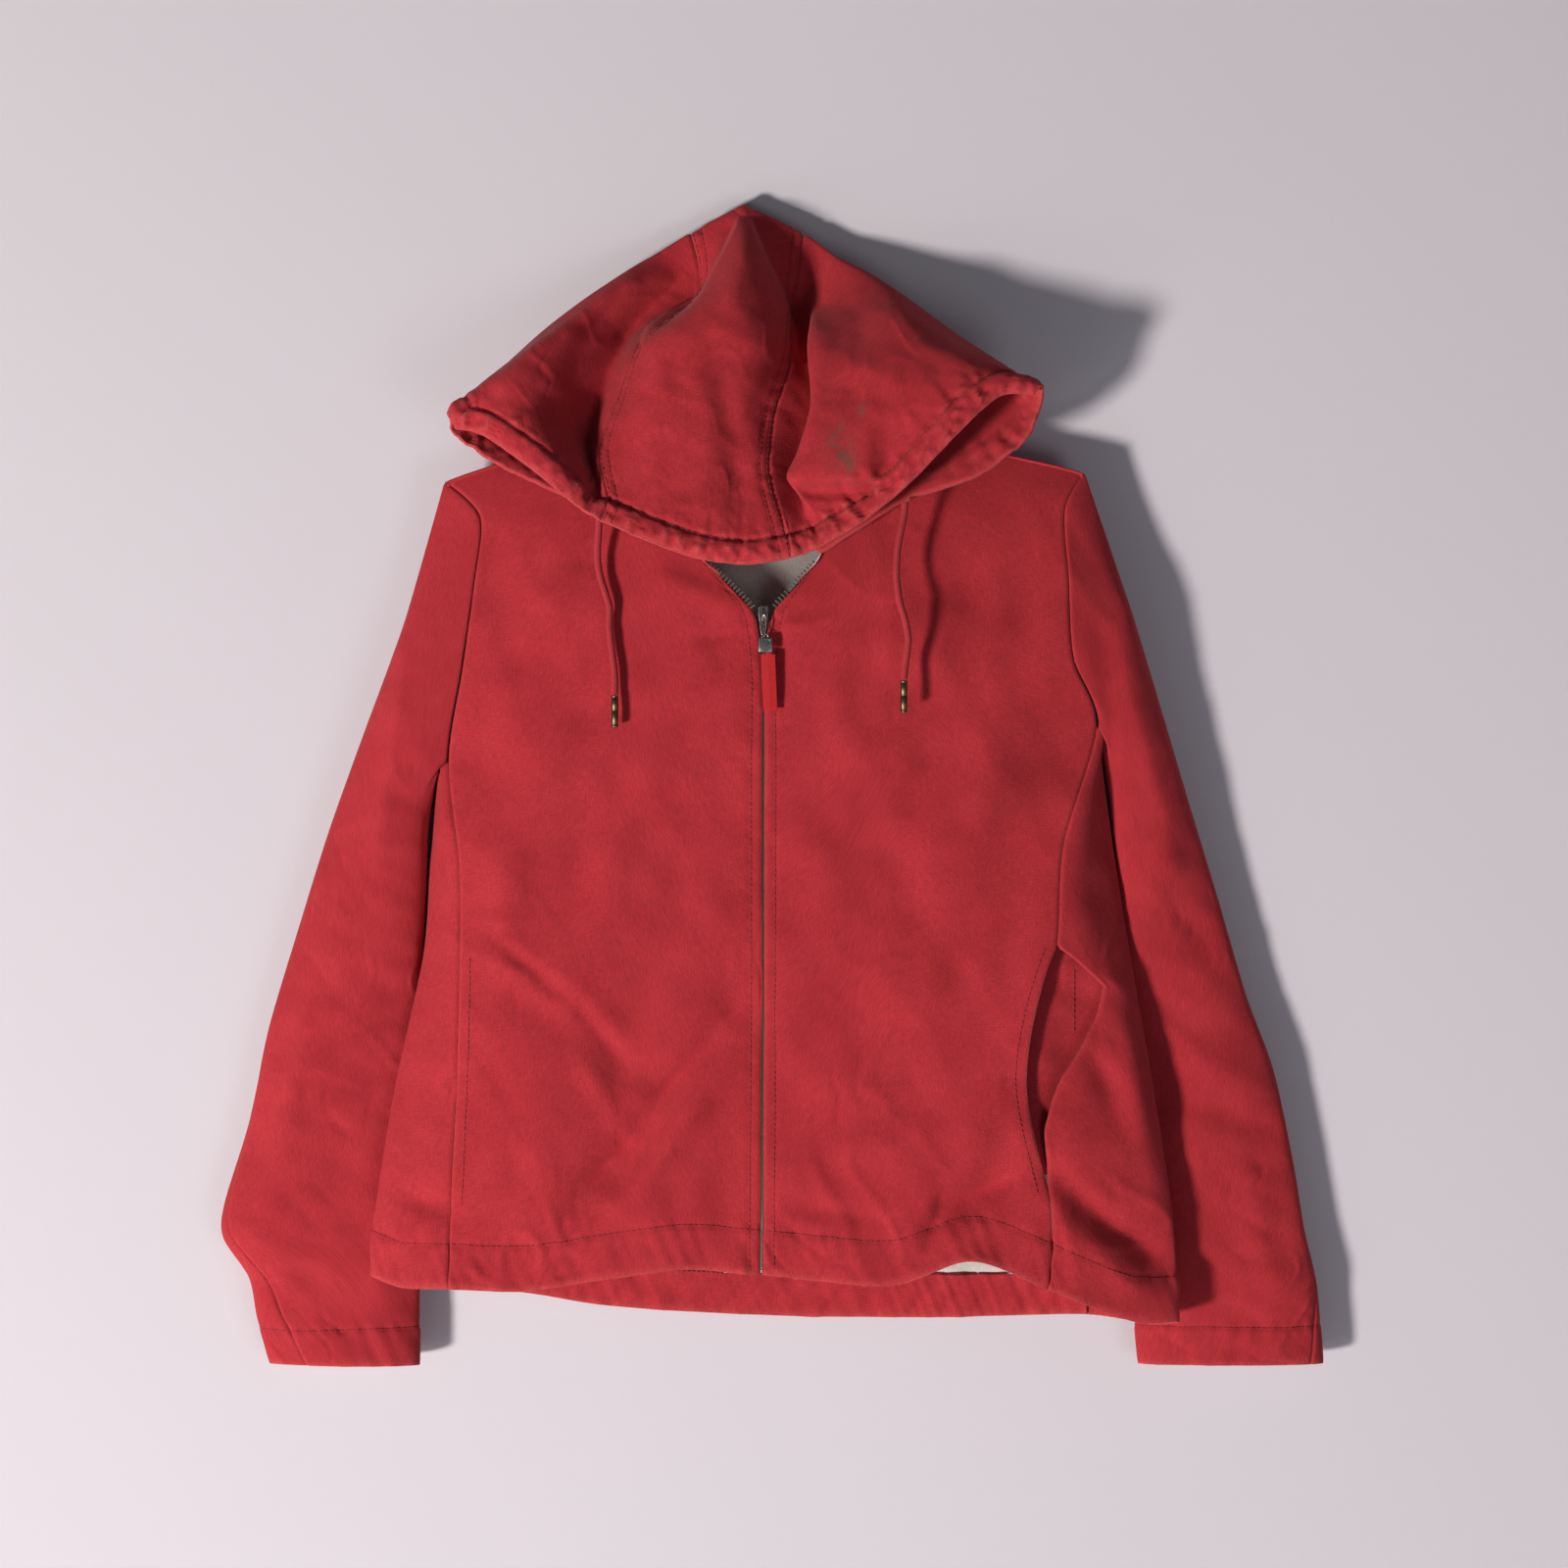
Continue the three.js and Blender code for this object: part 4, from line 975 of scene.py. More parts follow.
# ---- Hood ----
# Three canvas pieces: a centre strip between two side panels, joined by twin-stitched seams. The brow has
# flopped forward, so the strip hangs in front as a tongue. The rim is turned in as a gathered tunnel.
HOOD_COLUMNS = [
    [[-196, -156, 86], [-199, -152, 88], [-201, -148, 87], [-202, -146, 85], [-203, -145, 83],
        [-203, -146, 80], [-202, -149, 78], [-201, -153, 77], [-200, -157, 76], [-197, -161, 77]],
    [[-178, -161, 92], [-177, -147, 94], [-180, -134, 90], [-177, -125, 85], [-174, -119, 77],
        [-172, -116, 65], [-172, -117, 58], [-172, -124, 55], [-170, -150, 58], [-166, -182, 74]],
    [[-156, -176, 98], [-152, -160, 99], [-160, -134, 93], [-153, -114, 87], [-145, -99, 76], [-140, -89, 56],
        [-140, -85, 46], [-140, -92, 38], [-137, -140, 46], [-106, -210, 71]],
    [[-135, -192, 101], [-130, -176, 99], [-138, -142, 86], [-131, -110, 77], [-120, -86, 65],
        [-110, -69, 52], [-109, -60, 38], [-108, -68, 27], [-110, -147, 46], [-26, -242.5, 66]],
    [[-117, -206, 102], [-110, -189, 92], [-121, -150, 69], [-113, -108, 57], [-98, -76, 45], [-80, -52, 42],
        [-80, -40, 30], [-80, -48, 21], [-87, -134, 37], [-57, -202.5, 57]],
    [[-107, -213, 102], [-101, -197, 84], [-107, -163, 54], [-98, -122, 46], [-80, -84, 33], [-48, -48, 23],
        [-58, -27, 22], [-60, -36, 16], [-68, -104, 22], [-73, -138.5, 29]],
    [[-97, -219, 102], [-92, -204, 94], [-99, -170, 76], [-87, -132, 69], [-71, -92, 58], [-32, -56, 26],
        [-37, -14, 19], [-38, -24, 13], [-42, -78, 12], [-44, -134.2, 18]],
    [[-62, -235, 103], [-58, -219, 100], [-64, -178, 92], [-58, -135, 87], [-47, -92, 76], [-23, -50, 48],
        [-10, 1, 17], [-16, -12, 12], [-20, -70, 11], [-22, -134.5, 16]],
    [[-30, -246, 104], [-28, -229, 102], [-30, -185, 95], [-24, -140, 90], [-14, -95, 82], [-1, -46, 60],
        [0, 4.4, 15], [0, -9, 20.5], [0, -70, 11], [4, -134.5, 15]],
    [[4, -250, 104], [2, -233, 102], [-5, -188, 91], [0, -145, 84], [12, -98, 74], [21, -52, 46], [11, 1, 17],
        [17, -12, 12], [22, -70, 11], [28, -134.5, 16]],
    [[34, -245, 104], [30, -228, 100], [19, -186, 84], [22, -145, 70], [33, -108, 54], [35, -68, 28],
        [42, -15, 19], [43, -26, 13], [50, -78, 12], [52, -133.5, 18]],
    [[45, -241, 104], [42, -223, 95], [42, -184, 70], [57, -143, 52], [57, -102, 38], [43, -62, 26],
        [58, -26, 22], [60, -38, 17], [78, -104, 26], [83, -137, 29]],
    [[54, -237, 105], [52, -219, 97], [35, -190, 98], [47, -141, 91], [45, -95, 70], [53, -62, 36],
        [68, -33, 28], [74, -48, 21], [96, -136, 50], [69, -201, 57]],
    [[80, -222, 106], [78, -206, 98], [70, -193, 101], [84, -145, 98], [80, -102, 81], [80, -70, 54],
        [88, -43, 34], [92, -58, 26], [122, -150, 62], [51, -242.5, 66]],
    [[112, -197, 107], [106, -182, 104], [112, -160, 105], [118, -128, 101], [112, -98, 87], [108, -72, 64],
        [113, -60, 44], [116, -72, 36], [144, -136, 52], [108, -208, 72]],
    [[148, -160, 107], [144, -147, 105], [148, -133, 105], [150, -119, 100], [147, -104, 87], [144, -93, 71],
        [147, -86, 52], [150, -94, 46], [168, -136, 58], [160, -190, 79]],
    [[176, -135, 98], [173, -126, 100], [175, -121, 99], [178, -117, 93], [179, -113, 84], [179, -110, 74],
        [181, -110, 63], [184, -116, 60], [192, -138, 64], [193, -166, 80]],
    [[200, -133, 92], [203, -129, 93], [205, -127, 92], [206, -126, 89], [207, -127, 86], [207, -130, 83],
        [207, -134, 81], [206, -139, 80], [204, -145, 80], [202, -150, 82]],
]
HOOD_FOLDS = [
    [-20, -10, -50, -52, 12, -6],
    [-60, -60, -84, -84, 8, -6],
    [26, -14, 50, -64, 13, -9],
    [40, -78, 44, -110, 6, -4],
    [-76, -92, -98, -165, 9, -7],
    [-60, -100, -52, -150, 9, 2],
    [-20, -100, -8, -160, 10, -2.5],
    [-8, -160, 2, -226, 9, -3],
    [-60, -210, -20, -190, 7, -2],
    [58, -100, 100, -124, 12, 2],
    [90, -180, 118, -150, 10, -2.5],
    [-60, -110, -72, -190, 8, 1.5],
    [-30, -120, -20, -210, 12, 1.5],
    [100, -90, 150, -130, 8, -1.5],
    [60, -140, 140, -150, 9, 1.5],
    [-150, -110, -120, -160, 8, -1.5],
]
HOOD_LEFT_SEAM, HOOD_RIGHT_SEAM, HOOD_LAST = 6, 10, 17
hood_net = np.array(HOOD_COLUMNS, float)
TUNNEL = 17


def hood_plain(a, b):
    return net_at(hood_net, a, b)


# the rim: behind the lip on one side, round that tip, along the lip, round the other tip and back behind
rim_a = np.concatenate([
    np.linspace(3, 0, 60), np.zeros(40), np.linspace(0, 17, 340), np.full(40, 17.0), np.linspace(17, 13, 60),
])
rim_b = np.concatenate([
    np.full(60, 9.0), np.linspace(9, 0, 40), np.zeros(340), np.linspace(0, 9, 40), np.full(60, 9.0),
])
rim = space(hood_plain(rim_a, rim_b))
rim_run = np.concatenate([[0], np.cumsum(np.linalg.norm(np.diff(rim, axis=0), axis=1))])


def from_rim(place):
    """Distance of each point from the rim, and how far round the rim it lies, in mm."""
    flat = place.reshape(-1, 3)
    away = np.empty(len(flat))
    where = np.empty(len(flat))
    for start in range(0, len(flat), 4000):
        d = np.linalg.norm(flat[start:start + 4000, None, :] - rim[None], axis=-1)
        nearest = d.argmin(axis=1)
        away[start:start + 4000] = d.min(axis=1)
        where[start:start + 4000] = rim_run[nearest]
    return away.reshape(place.shape[:-1]), where.reshape(place.shape[:-1])


def hood(a, b):
    p = hood_plain(a, b)
    # the left panel's fold ends in a point and overhangs the tunnel below it
    x, z = p[..., 0].copy(), p[..., 1].copy()
    proud = smooth_step(p[..., 2], 84, 92) * smooth_step(5 - b, 0, 1)
    point = proud * np.exp(-(((x - 44) / 13) ** 2)) * np.exp(-(((z + 188) / 8) ** 2))
    p[..., 0] -= 7 * point
    p[..., 1] -= 2 * point
    # near the crown the strip stands up as a narrow tongue with a sharp edge over each valley
    left = np.interp(-z, (0, 22, 46, 59, 69, 82, 105), (-3, -12, -24, -35, -53, -68, -73))
    right = np.interp(-z, (0, 31, 61, 82, 105), (4, 16, 31, 38, 38))
    high = smooth_step(6.4 - b, 0, 0.5) * smooth_step(z, -112, -84) * smooth_step(-z, 0, 12)
    tongue = smooth_step(x - left, -1.5, 2) * smooth_step(right - x, -1.5, 2)
    beyond = np.maximum(0, left - x) + np.maximum(0, x - right)
    beside = np.exp(-(beyond / 9) ** 1.5)
    p[..., 2] += high * (9 * tongue - 5 * beside)
    ledge = proud * smooth_step(x, 36, 46) * smooth_step(100 - x, 0, 16)
    lifted = 6 * smooth_step(z, -196.5, -191.5) * smooth_step(-z, 120, 190)
    p[..., 2] += ledge * (lifted - 5 * np.exp(-(((z + 200) / 5) ** 2)))
    x, z = p[..., 0].copy(), p[..., 1].copy()
    front = smooth_step(5.8 - b, 0, 1)
    small = 0.6 * ripple(x, z, 45, 21) + 0.3 * ripple(x, z, 18, 22)
    small += 0.8 * crumple(x, z, 48, 23) - 0.6 * crumple(x, z, 30, 27)
    p[..., 2] += front * smooth_step(b, 0.8, 1.8) * (fold_height(x, z, HOOD_FOLDS) + small)
    return p


def hood_rows(v):
    return np.where(v < 0.16, 1.12 * v / 0.16, 1.12 + (8.95 - 1.12) * (v - 0.16) / 0.84)


HOOD_GAP = 0.01
rows_hood = np.unique(
    np.concatenate([np.linspace(0, 0.16, 26), np.linspace(0.16, 0.8, 110), np.linspace(0.8, 1, 34)])
)
for name, first, last, flat, share, step in (
    ("hood_right", 0.0, HOOD_LEFT_SEAM - HOOD_GAP, (0.33, 0.36), 0.42, 2.0),
    ("hood_centre", HOOD_LEFT_SEAM + HOOD_GAP, HOOD_RIGHT_SEAM - HOOD_GAP, (0.14, 0.46), 0.7, 1.6),
    ("hood_left", HOOD_RIGHT_SEAM + HOOD_GAP, HOOD_LAST, (0.36, 0.36), 0.45, 2.0),
):
    grid = cut(
        hood, lambda u, v, first=first, last=last: (first + (last - first) * u, hood_rows(v)),
        spread(260 if name != "hood_centre" else 130, step, name != "hood_right", name != "hood_left"),
        rows_hood, 1,
    )
    seams = {"hood_right": ("end",), "hood_centre": ("start", "end"), "hood_left": ("start",)}[name]
    roll_seams(grid, seams, 1.0)
    away, where = from_rim(grid["place"])
    tube = np.sin(np.pi * np.clip(away / TUNNEL, 0, 1)) ** 0.7
    bunched = 0.55 + 0.6 * smooth_step(ripple(where, 0 * where, 90, 43, 5), -0.6, 0.8)
    gathers = bunched * (0.8 * ripple(where, 0.3 * away, 11, 41) + 0.5 * ripple(where, 0.6 * away, 6, 42))
    reach = np.where(away < TUNNEL, 0.6 + 0.4 * tube, np.exp(-((away - TUNNEL) / 11)))
    grid["rise"] += 2.4 * tube + 1.25 * gathers * reach - 1.6 * np.exp(-(((away - TUNNEL) / 1.8) ** 2))
    if name == "hood_centre":
        for edge in ("start", "end"):
            beside = from_edge(grid, edge)
            puckers = ripple(grid["run_v"] + 0.6 * beside, 0 * beside, 7, 44)
            grid["rise"] += 0.45 * puckers * smooth_step(10 - beside, 0, 3)
        row_of_stitching(grid, "start", 7.5, 0.7)
        row_of_stitching(grid, "end", 7.5, 0.7)
        row_of_stitching(grid, "start", 1.6, 0.2)
        row_of_stitching(grid, "end", 1.6, 0.2)
    settle(grid)
    worn = wear_from(grid, [(edge, 2.0, 0.3) for edge in seams])
    worn = np.maximum(worn, 0.8 * np.exp(-((away / 3.5) ** 2)))
    worn = np.maximum(worn, 0.6 * np.clip(gathers, 0, 1) * (away < TUNNEL + 3) * np.clip(reach, 0, 1))
    stain = np.zeros(away.shape)
    if name == "hood_left":
        x, z = grid["place"][..., 0], grid["place"][..., 2]
        outside = grid["b"] < 5
        for sx, sz, half in (
            (67, -174, 9), (62, -168, 7), (81, -145, 3.2), (66, -156, 3.5), (72, -182, 6),
        ):
            stain = np.maximum(
                stain, outside * np.exp(-(((x - sx) / half) ** 2 + ((z - sz) / (half * 1.3)) ** 2)),
            )
        stain = stain * 0.8
    thick = CLOTH + 3.6 * tube
    made = panel(name + "_canvas", grid, thick, worn, [canvas], [name], stain=stain)
    runs = []
    columns = grid["a"].shape[1]
    line, normals = [], []
    for k in range(columns):
        order = away[:60, k]
        inside = np.argmax(order > TUNNEL)
        if order[0] < TUNNEL and inside > 0:
            f = (TUNNEL - order[inside - 1]) / (order[inside] - order[inside - 1])
            line.append(grid["place"][inside - 1, k] * (1 - f) + grid["place"][inside, k] * f)
            normals.append(grid["normal"][inside, k])
    runs.append((np.array(line) + np.array(normals) * 0.3, np.array(normals)))
    if name == "hood_centre":
        for edge in ("start", "end"):
            for mm in (1.6, 7.5):
                runs.append(line_at(grid, edge, mm))
    sewn = stitches(name + "_stitching", runs, thread, "hoodie")


# ---- Inside: back lining and the back hem's facing ----
# The jersey lining shows in the open neck and under the front hem. Below it the canvas hem is faced with a
# puckered red strip whose top edge is overlocked.
def lining_form(a, b):
    """The back's own form, with the loose lining bagging forward behind the open neck."""
    p = body(a, b)
    p[..., 2] += 30 * np.exp(-(((p[..., 0] - 14) / 62) ** 2)) * np.exp(-(((p[..., 1] + 262) / 42) ** 2))
    return p


grid = cut(
    lining_form, lambda u, v: (R_BACK + 0.35 + (L_BACK - R_BACK - 0.7) * u, 1.2 + (8.52 - 1.2) * v),
    np.linspace(0, 1, 100), np.linspace(0, 1, 120), 1, -CLOTH - 1.2,
)
grid["rise"] -= 0.5 + 0.4 * ripple(grid["run_u"], grid["run_v"], 40, 51)
settle(grid)
lining = panel("lining_back_jersey", grid, 1.0, wear_from(grid, []), [jersey], ["lining_back"])

grid = cut(
    body, lambda u, v: (R_BACK + 0.04 + (L_BACK - R_BACK - 0.08) * u, 8.5 + (8.985 - 8.5) * v),
    np.linspace(0, 1, 260), np.linspace(0, 1, 24), 1, -CLOTH - 1.6,
)
down, along = from_edge(grid, "top"), grid["run_u"]
grid["rise"] -= 0.5 + 0.9 * ripple(along + 0.7 * down, 0.3 * down, 22, 52)
grid["rise"] -= 0.4 * ripple(along - 0.5 * down, 0 * down, 9, 53)
settle(grid)
facing = panel(
    "hem_facing_canvas", grid, 1.0, wear_from(grid, [("top", 2.0, 0.5), ("bottom", 3.0, 0.9)]), [canvas],
    ["hem_facing_back"],
)
overlock = []
line = line_at(grid, "top", 2.2, -1.5)[0]
line_top = line_at(grid, "top", 0.3, -1.5)[0]
steps = np.linspace(0, len(line) - 1, 420)
for n, s in enumerate(steps):
    source = line if n % 2 else line_top
    overlock.append([np.interp(s, np.arange(len(line)), source[:, i]) for i in range(3)])
edge_points, edge_faces = tube_mesh(np.array(overlock) * MM, 0.35 * MM, 5)
overlocking = mesh_object("hem_facing_overlock", edge_points, edge_faces, [thread])
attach(overlocking, "hoodie")

# The facing inside the left pocket's open mouth, a canvas strip with one stitched line.
FACING_COLUMNS = [
    [[190, -508, 66], [186, -545, 67], [186, -575, 69], [188, -620, 71], [196, -672, 76]],
    [[206, -508, 67], [210, -545, 63], [208, -575, 65], [203, -620, 69], [203, -672, 75]],
    [[219, -508, 64], [248, -545, 54], [233, -575, 57], [214, -620, 64], [208, -672, 73]],
]
facing_net = np.array(FACING_COLUMNS, float)


def mouth_facing(a, b):
    p = net_at(facing_net, a, b)
    tucked = smooth_step(a, 1.2, 2.0)
    p[..., 0] += 7 * tucked
    p[..., 2] -= 1.2 * tucked
    return p


grid = cut(
    mouth_facing, lambda u, v: (u * 2, v * 3.9), spread(44, 1.5, True, True), np.linspace(0, 1, 90), -1,
)
x, z = grid["place"][..., 0], grid["place"][..., 2]
grid["rise"] += 0.5 * ripple(x, z, 30, 61)
settle(grid)
pocket_facing = panel(
    "pocket_facing_canvas", grid, 1.0, wear_from(grid, [("end", 2.5, 0.9)]), [canvas],
    ["pocket_facing_left"],
)
# one straight row of stitches runs down the facing
sewn_rows = [r for r in range(90) if -576 < grid["place"][r, 0, 2] < -528]
sewn_line, sewn_normals = [], []
for r in sewn_rows:
    across = grid["place"][r, :, 0]
    up = np.array([np.interp(229.5, across, grid["normal"][r, :, i]) for i in range(3)])
    at = np.array([np.interp(229.5, across, grid["place"][r, :, i]) for i in range(3)])
    sewn_line.append(at + 0.3 * up)
    sewn_normals.append(up)
sewn_line, sewn_normals = np.array(sewn_line), np.array(sewn_normals)
sewn = stitches("pocket_facing_stitching", [(sewn_line, sewn_normals)], thread, "hoodie")


# ---- Zip ----
# A metal zip: woven tapes sewn behind the front edges, aged teeth that part in a V at the neck, and a nickel
# slider at the foot of the V. The teeth are 2.9 mm apart where they show and 1.6 mm apart where they mesh.
ZIP_X = 14.3
TAPE = 10
OPEN_PITCH = 2.9
MESHED_PITCH = 1.6
SLIDER_TOP = -279


def tape_material(name, colour, dark):
    """Woven polyester tape: fine ribs across it, slightly glossier than the canvas."""
    made = new_material(name)
    t = made.node_tree
    uv = node(t, "ShaderNodeUVMap", {"uv_map": "cloth"})
    # ribs 0.8 mm apart
    ribs = node(t, "ShaderNodeMapping", {"Scale": (60.0, 1250.0, 1.0)}, {"Vector": uv.outputs[0]})
    fine = node(t, "ShaderNodeTexNoise", {"Scale": 1.0}, {"Vector": ribs.outputs[0]})
    tone = node(
        t, "ShaderNodeMix", {"data_type": "RGBA", 6: linear(dark), 7: linear(colour)},
        {0: fine.outputs["Fac"]},
    )
    bump = node(
        t, "ShaderNodeBump", {"Strength": 0.4, "Distance": 0.0002}, {"Height": fine.outputs["Fac"]},
    )
    shader = node(
        t, "ShaderNodeBsdfPrincipled", {"Roughness": 0.8},
        {"Base Color": tone.outputs[2], "Normal": bump.outputs[0]},
    )
    output(t, shader)
    return made


tape_red = tape_material("woven_zip_tape", "#7c2228", "#4e1216")
tooth_metal = metal("aged_zip_teeth", "#c4bcae", "#6a6258", 0.34, 0.8)
nickel = metal("nickel_plate", "#c9c9c6", "#8e8e8c", 0.26, 0.7)


def zip_edge(column, b):
    b = np.asarray(b, float)
    return body(np.full(b.shape, float(column)), b)


for name, column, sign in (("zip_tape_right", 0, -1), ("zip_tape_left", BODY_LAST, 1)):
    def tape_surface(a, b, column=column, sign=sign):
        p = zip_edge(column, b)
        p[..., 0] += sign * a * TAPE
        p[..., 2] -= CLOTH + 1.6
        return p

    grid = cut(
        tape_surface, lambda u, v: (-0.09 + 1.09 * u, 0.1 + 8.86 * v), np.linspace(0, 1, 8),
        np.linspace(0, 1, 160), -1 if sign > 0 else 1,
    )
    made = panel(name + "_woven", grid, 1.0, wear_from(grid, []), [tape_red], [name])

teeth_points, teeth_faces = [], []


def tooth(centre, turn, size):
    base = len(teeth_points)
    ca, sa = math.cos(turn), math.sin(turn)
    for dx in (-0.5, 0.5):
        for dy in (-0.5, 0.5):
            for dz in (-0.5, 0.5):
                x, z = dx * size[0], dz * size[2]
                y = dy * size[1]
                turned = np.array([ca * x - sa * z, y, sa * x + ca * z])
                teeth_points.append(tuple((np.array(centre) + turned) * MM))
    for face in ((0, 1, 3, 2), (4, 6, 7, 5), (0, 4, 5, 1), (2, 3, 7, 6), (0, 2, 6, 4), (1, 5, 7, 3)):
        teeth_faces.append(tuple(base + i for i in face))


for column, sign in ((0, 1), (BODY_LAST, -1)):
    b = np.linspace(0.12, 1.95, 400)
    edge = space(zip_edge(column, b))
    run = np.concatenate([[0], np.cumsum(np.linalg.norm(np.diff(edge, axis=0), axis=1))])
    for k in range(int(run[-1] / OPEN_PITCH)):
        s = k * OPEN_PITCH
        p = np.array([np.interp(s, run, edge[:, i]) for i in range(3)])
        q = np.array([np.interp(s + 1, run, edge[:, i]) for i in range(3)])
        d = (q - p) / max(np.linalg.norm(q - p), 1e-9)
        turn = math.atan2(d[2], d[0]) + math.pi / 2
        centre = p + np.array([math.cos(turn), 0, math.sin(turn)]) * sign * 1.9 + np.array([0, 0.4, 0])
        if centre[2] > SLIDER_TOP:
            tooth(centre, turn, (3.6, 2.4, 1.3))
b = np.linspace(2.0, 8.9, 300)
middle = (space(zip_edge(0, b)) + space(zip_edge(BODY_LAST, b))) / 2
run = np.concatenate([[0], np.cumsum(np.linalg.norm(np.diff(middle, axis=0), axis=1))])
for k in range(int(run[-1] / MESHED_PITCH)):
    p = np.array([np.interp(k * MESHED_PITCH, run, middle[:, i]) for i in range(3)])
    tooth(p + np.array([0.4 if k % 2 else -0.4, 2.6, 0]), 0.0, (2.6, 1.6, 1.0))
teeth = mesh_object("zip_teeth_brass", teeth_points, teeth_faces, [tooth_metal], smooth=False)
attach(teeth, "hoodie")

# Slider: a cast body with flared shoulders, a bridge over it for the pull.
bm = bmesh.new()
outline = [
    (-3.4, 6.0), (-2.2, 6.6), (2.2, 6.6), (3.4, 6.0), (3.5, 1.0), (2.7, -5.2), (1.9, -6.2), (-1.9, -6.2),
    (-2.7, -5.2), (-3.5, 1.0),
]
verts = [bm.verts.new((x * MM, 0, z * MM)) for x, z in outline]
face = bm.faces.new(verts)
moved = bmesh.ops.extrude_face_region(bm, geom=[face])
for v in moved["geom"]:
    if isinstance(v, bmesh.types.BMVert):
        v.co.y -= 2.6 * MM
bmesh.ops.recalc_face_normals(bm, faces=bm.faces[:])
bmesh.ops.bevel(bm, geom=bm.edges[:], offset=0.45 * MM, segments=2, profile=0.5, affect="EDGES")
for v in bm.verts:
    v.co += Vector((ZIP_X * MM, -69.0 * MM, -283.5 * MM))
slider_mesh = bpy.data.meshes.new("zip_slider_nickel")
bm.to_mesh(slider_mesh)
bm.free()
slider_mesh.materials.append(nickel)
slider = bpy.data.objects.new("zip_slider_nickel", slider_mesh)
bpy.context.scene.collection.objects.link(slider)
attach(slider, "hoodie")
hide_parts("zip_slider")
bridge = [(ZIP_X, -71.4 - 1.9 * math.sin(math.pi * f), -279.0 - 8.0 * f) for f in np.linspace(0, 1, 13)]
bridge_points, bridge_faces = tube_mesh(np.array(bridge) * MM, 0.75 * MM, 8)
bridge_piece = mesh_object("zip_slider_bridge", bridge_points, bridge_faces, [nickel])
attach(bridge_piece, "hoodie")


# ---- Zip pull ----
# Hangs free from the slider's bridge: a nickel link, a jump ring, a plain square cast charm, and a bright
# red rubber tab with one ribbed edge. It swings as one piece.
PULL_OUT = -74.4
loop = []
for n in range(40):
    a = 2 * math.pi * n / 40
    wide = 1.9 + 0.35 * math.sin(a)
    loop.append((ZIP_X + wide * math.cos(a), -74.2, -290.4 + 7.6 * math.sin(a)))
loop_points, loop_faces = tube_mesh(np.array(loop) * MM, 0.65 * MM, 8, closed=True)
link = mesh_object("pull_link_nickel", loop_points, loop_faces, [nickel])
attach(link, "zip_pull")
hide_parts("zip_puller")
ring_path = []
for n in range(28):
    a = 2 * math.pi * n / 28
    across = 2.2 * math.cos(a)
    ring_path.append((ZIP_X + 1.2 + across, PULL_OUT + 0.7 * math.cos(a), -298.6 + 2.2 * math.sin(a)))
ring_points, ring_faces = tube_mesh(np.array(ring_path) * MM, 0.5 * MM, 8, closed=True)
jump_ring = mesh_object("pull_jump_ring", ring_points, ring_faces, [nickel])
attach(jump_ring, "zip_pull")
CHARM = (ZIP_X + 1.5, PULL_OUT, -303.9)
charm = rounded_box("pull_charm_nickel", (9.6, 2.4, 10.0), CHARM, 0.6, [nickel])
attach(charm, "zip_pull")
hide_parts("zip_charm")
frame_line = []
for n in range(48):
    a = 2 * math.pi * n / 48
    c, s = math.cos(a), math.sin(a)
    across = 3.5 * np.sign(c) * abs(c) ** 0.35
    up = 3.7 * np.sign(s) * abs(s) ** 0.35
    frame_line.append((CHARM[0] + across, PULL_OUT - 1.25, CHARM[2] + up))
frame_points, frame_faces = tube_mesh(np.array(frame_line) * MM, 0.28 * MM, 6, closed=True)
charm_frame = mesh_object("pull_charm_raised_frame", frame_points, frame_faces, [nickel])
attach(charm_frame, "zip_pull")


def rubber_material(name, colour, dark):
    """Moulded rubber: even bright red with a fine cross grain and a soft sheen."""
    made = new_material(name)
    t = made.node_tree
    place = node(t, "ShaderNodeTexCoord")
    # ribs 1 mm apart across the tab
    stretched = node(
        t, "ShaderNodeMapping", {"Scale": (120.0, 120.0, 1000.0)}, {"Vector": place.outputs["Object"]},
    )
    grain = node(t, "ShaderNodeTexNoise", {"Scale": 1.0, "Detail": 2.0}, {"Vector": stretched.outputs[0]})
    tone = node(
        t, "ShaderNodeMix", {"data_type": "RGBA", 6: linear(dark), 7: linear(colour)},
        {0: grain.outputs["Fac"]},
    )
    bump = node(
        t, "ShaderNodeBump", {"Strength": 0.5, "Distance": 0.0003}, {"Height": grain.outputs["Fac"]},
    )
    shader = node(
        t, "ShaderNodeBsdfPrincipled", {"Roughness": 0.5},
        {"Base Color": tone.outputs[2], "Normal": bump.outputs[0]},
    )
    output(t, shader)
    return made


red_rubber = rubber_material("moulded_red_rubber", "#c4161f", "#a60f18")
tab_points, tab_faces = [], []
TAB_ROWS = 79
for j in range(TAB_ROWS):
    z = -310.4 - 39.0 * j / (TAB_ROWS - 1)
    lean = ZIP_X + 3.4 + 1.6 * j / (TAB_ROWS - 1)
    notch = 0.35 * (j % 4 in (1, 2))
    section = (
        (-5.0, 0.5), (-4.6, 0.9), (-0.5, 1.0), (3.2, 0.75), (4.4 + notch, 0.7), (4.7 + notch, 0.4),
        (4.7 + notch, -0.4), (4.4 + notch, -0.8), (0, -0.9), (-4.6, -0.9), (-5.0, -0.5),
    )
    for dx, dy in section:
        tab_points.append(((lean + dx) * MM, (PULL_OUT - dy) * MM, z * MM))
sides = 11
for j in range(TAB_ROWS - 1):
    for k in range(sides):
        m = (k + 1) % sides
        tab_faces.append((j * sides + k, j * sides + m, (j + 1) * sides + m, (j + 1) * sides + k))
tab_faces.append(tuple(range(sides - 1, -1, -1)))
tab_faces.append(tuple((TAB_ROWS - 1) * sides + k for k in range(sides)))
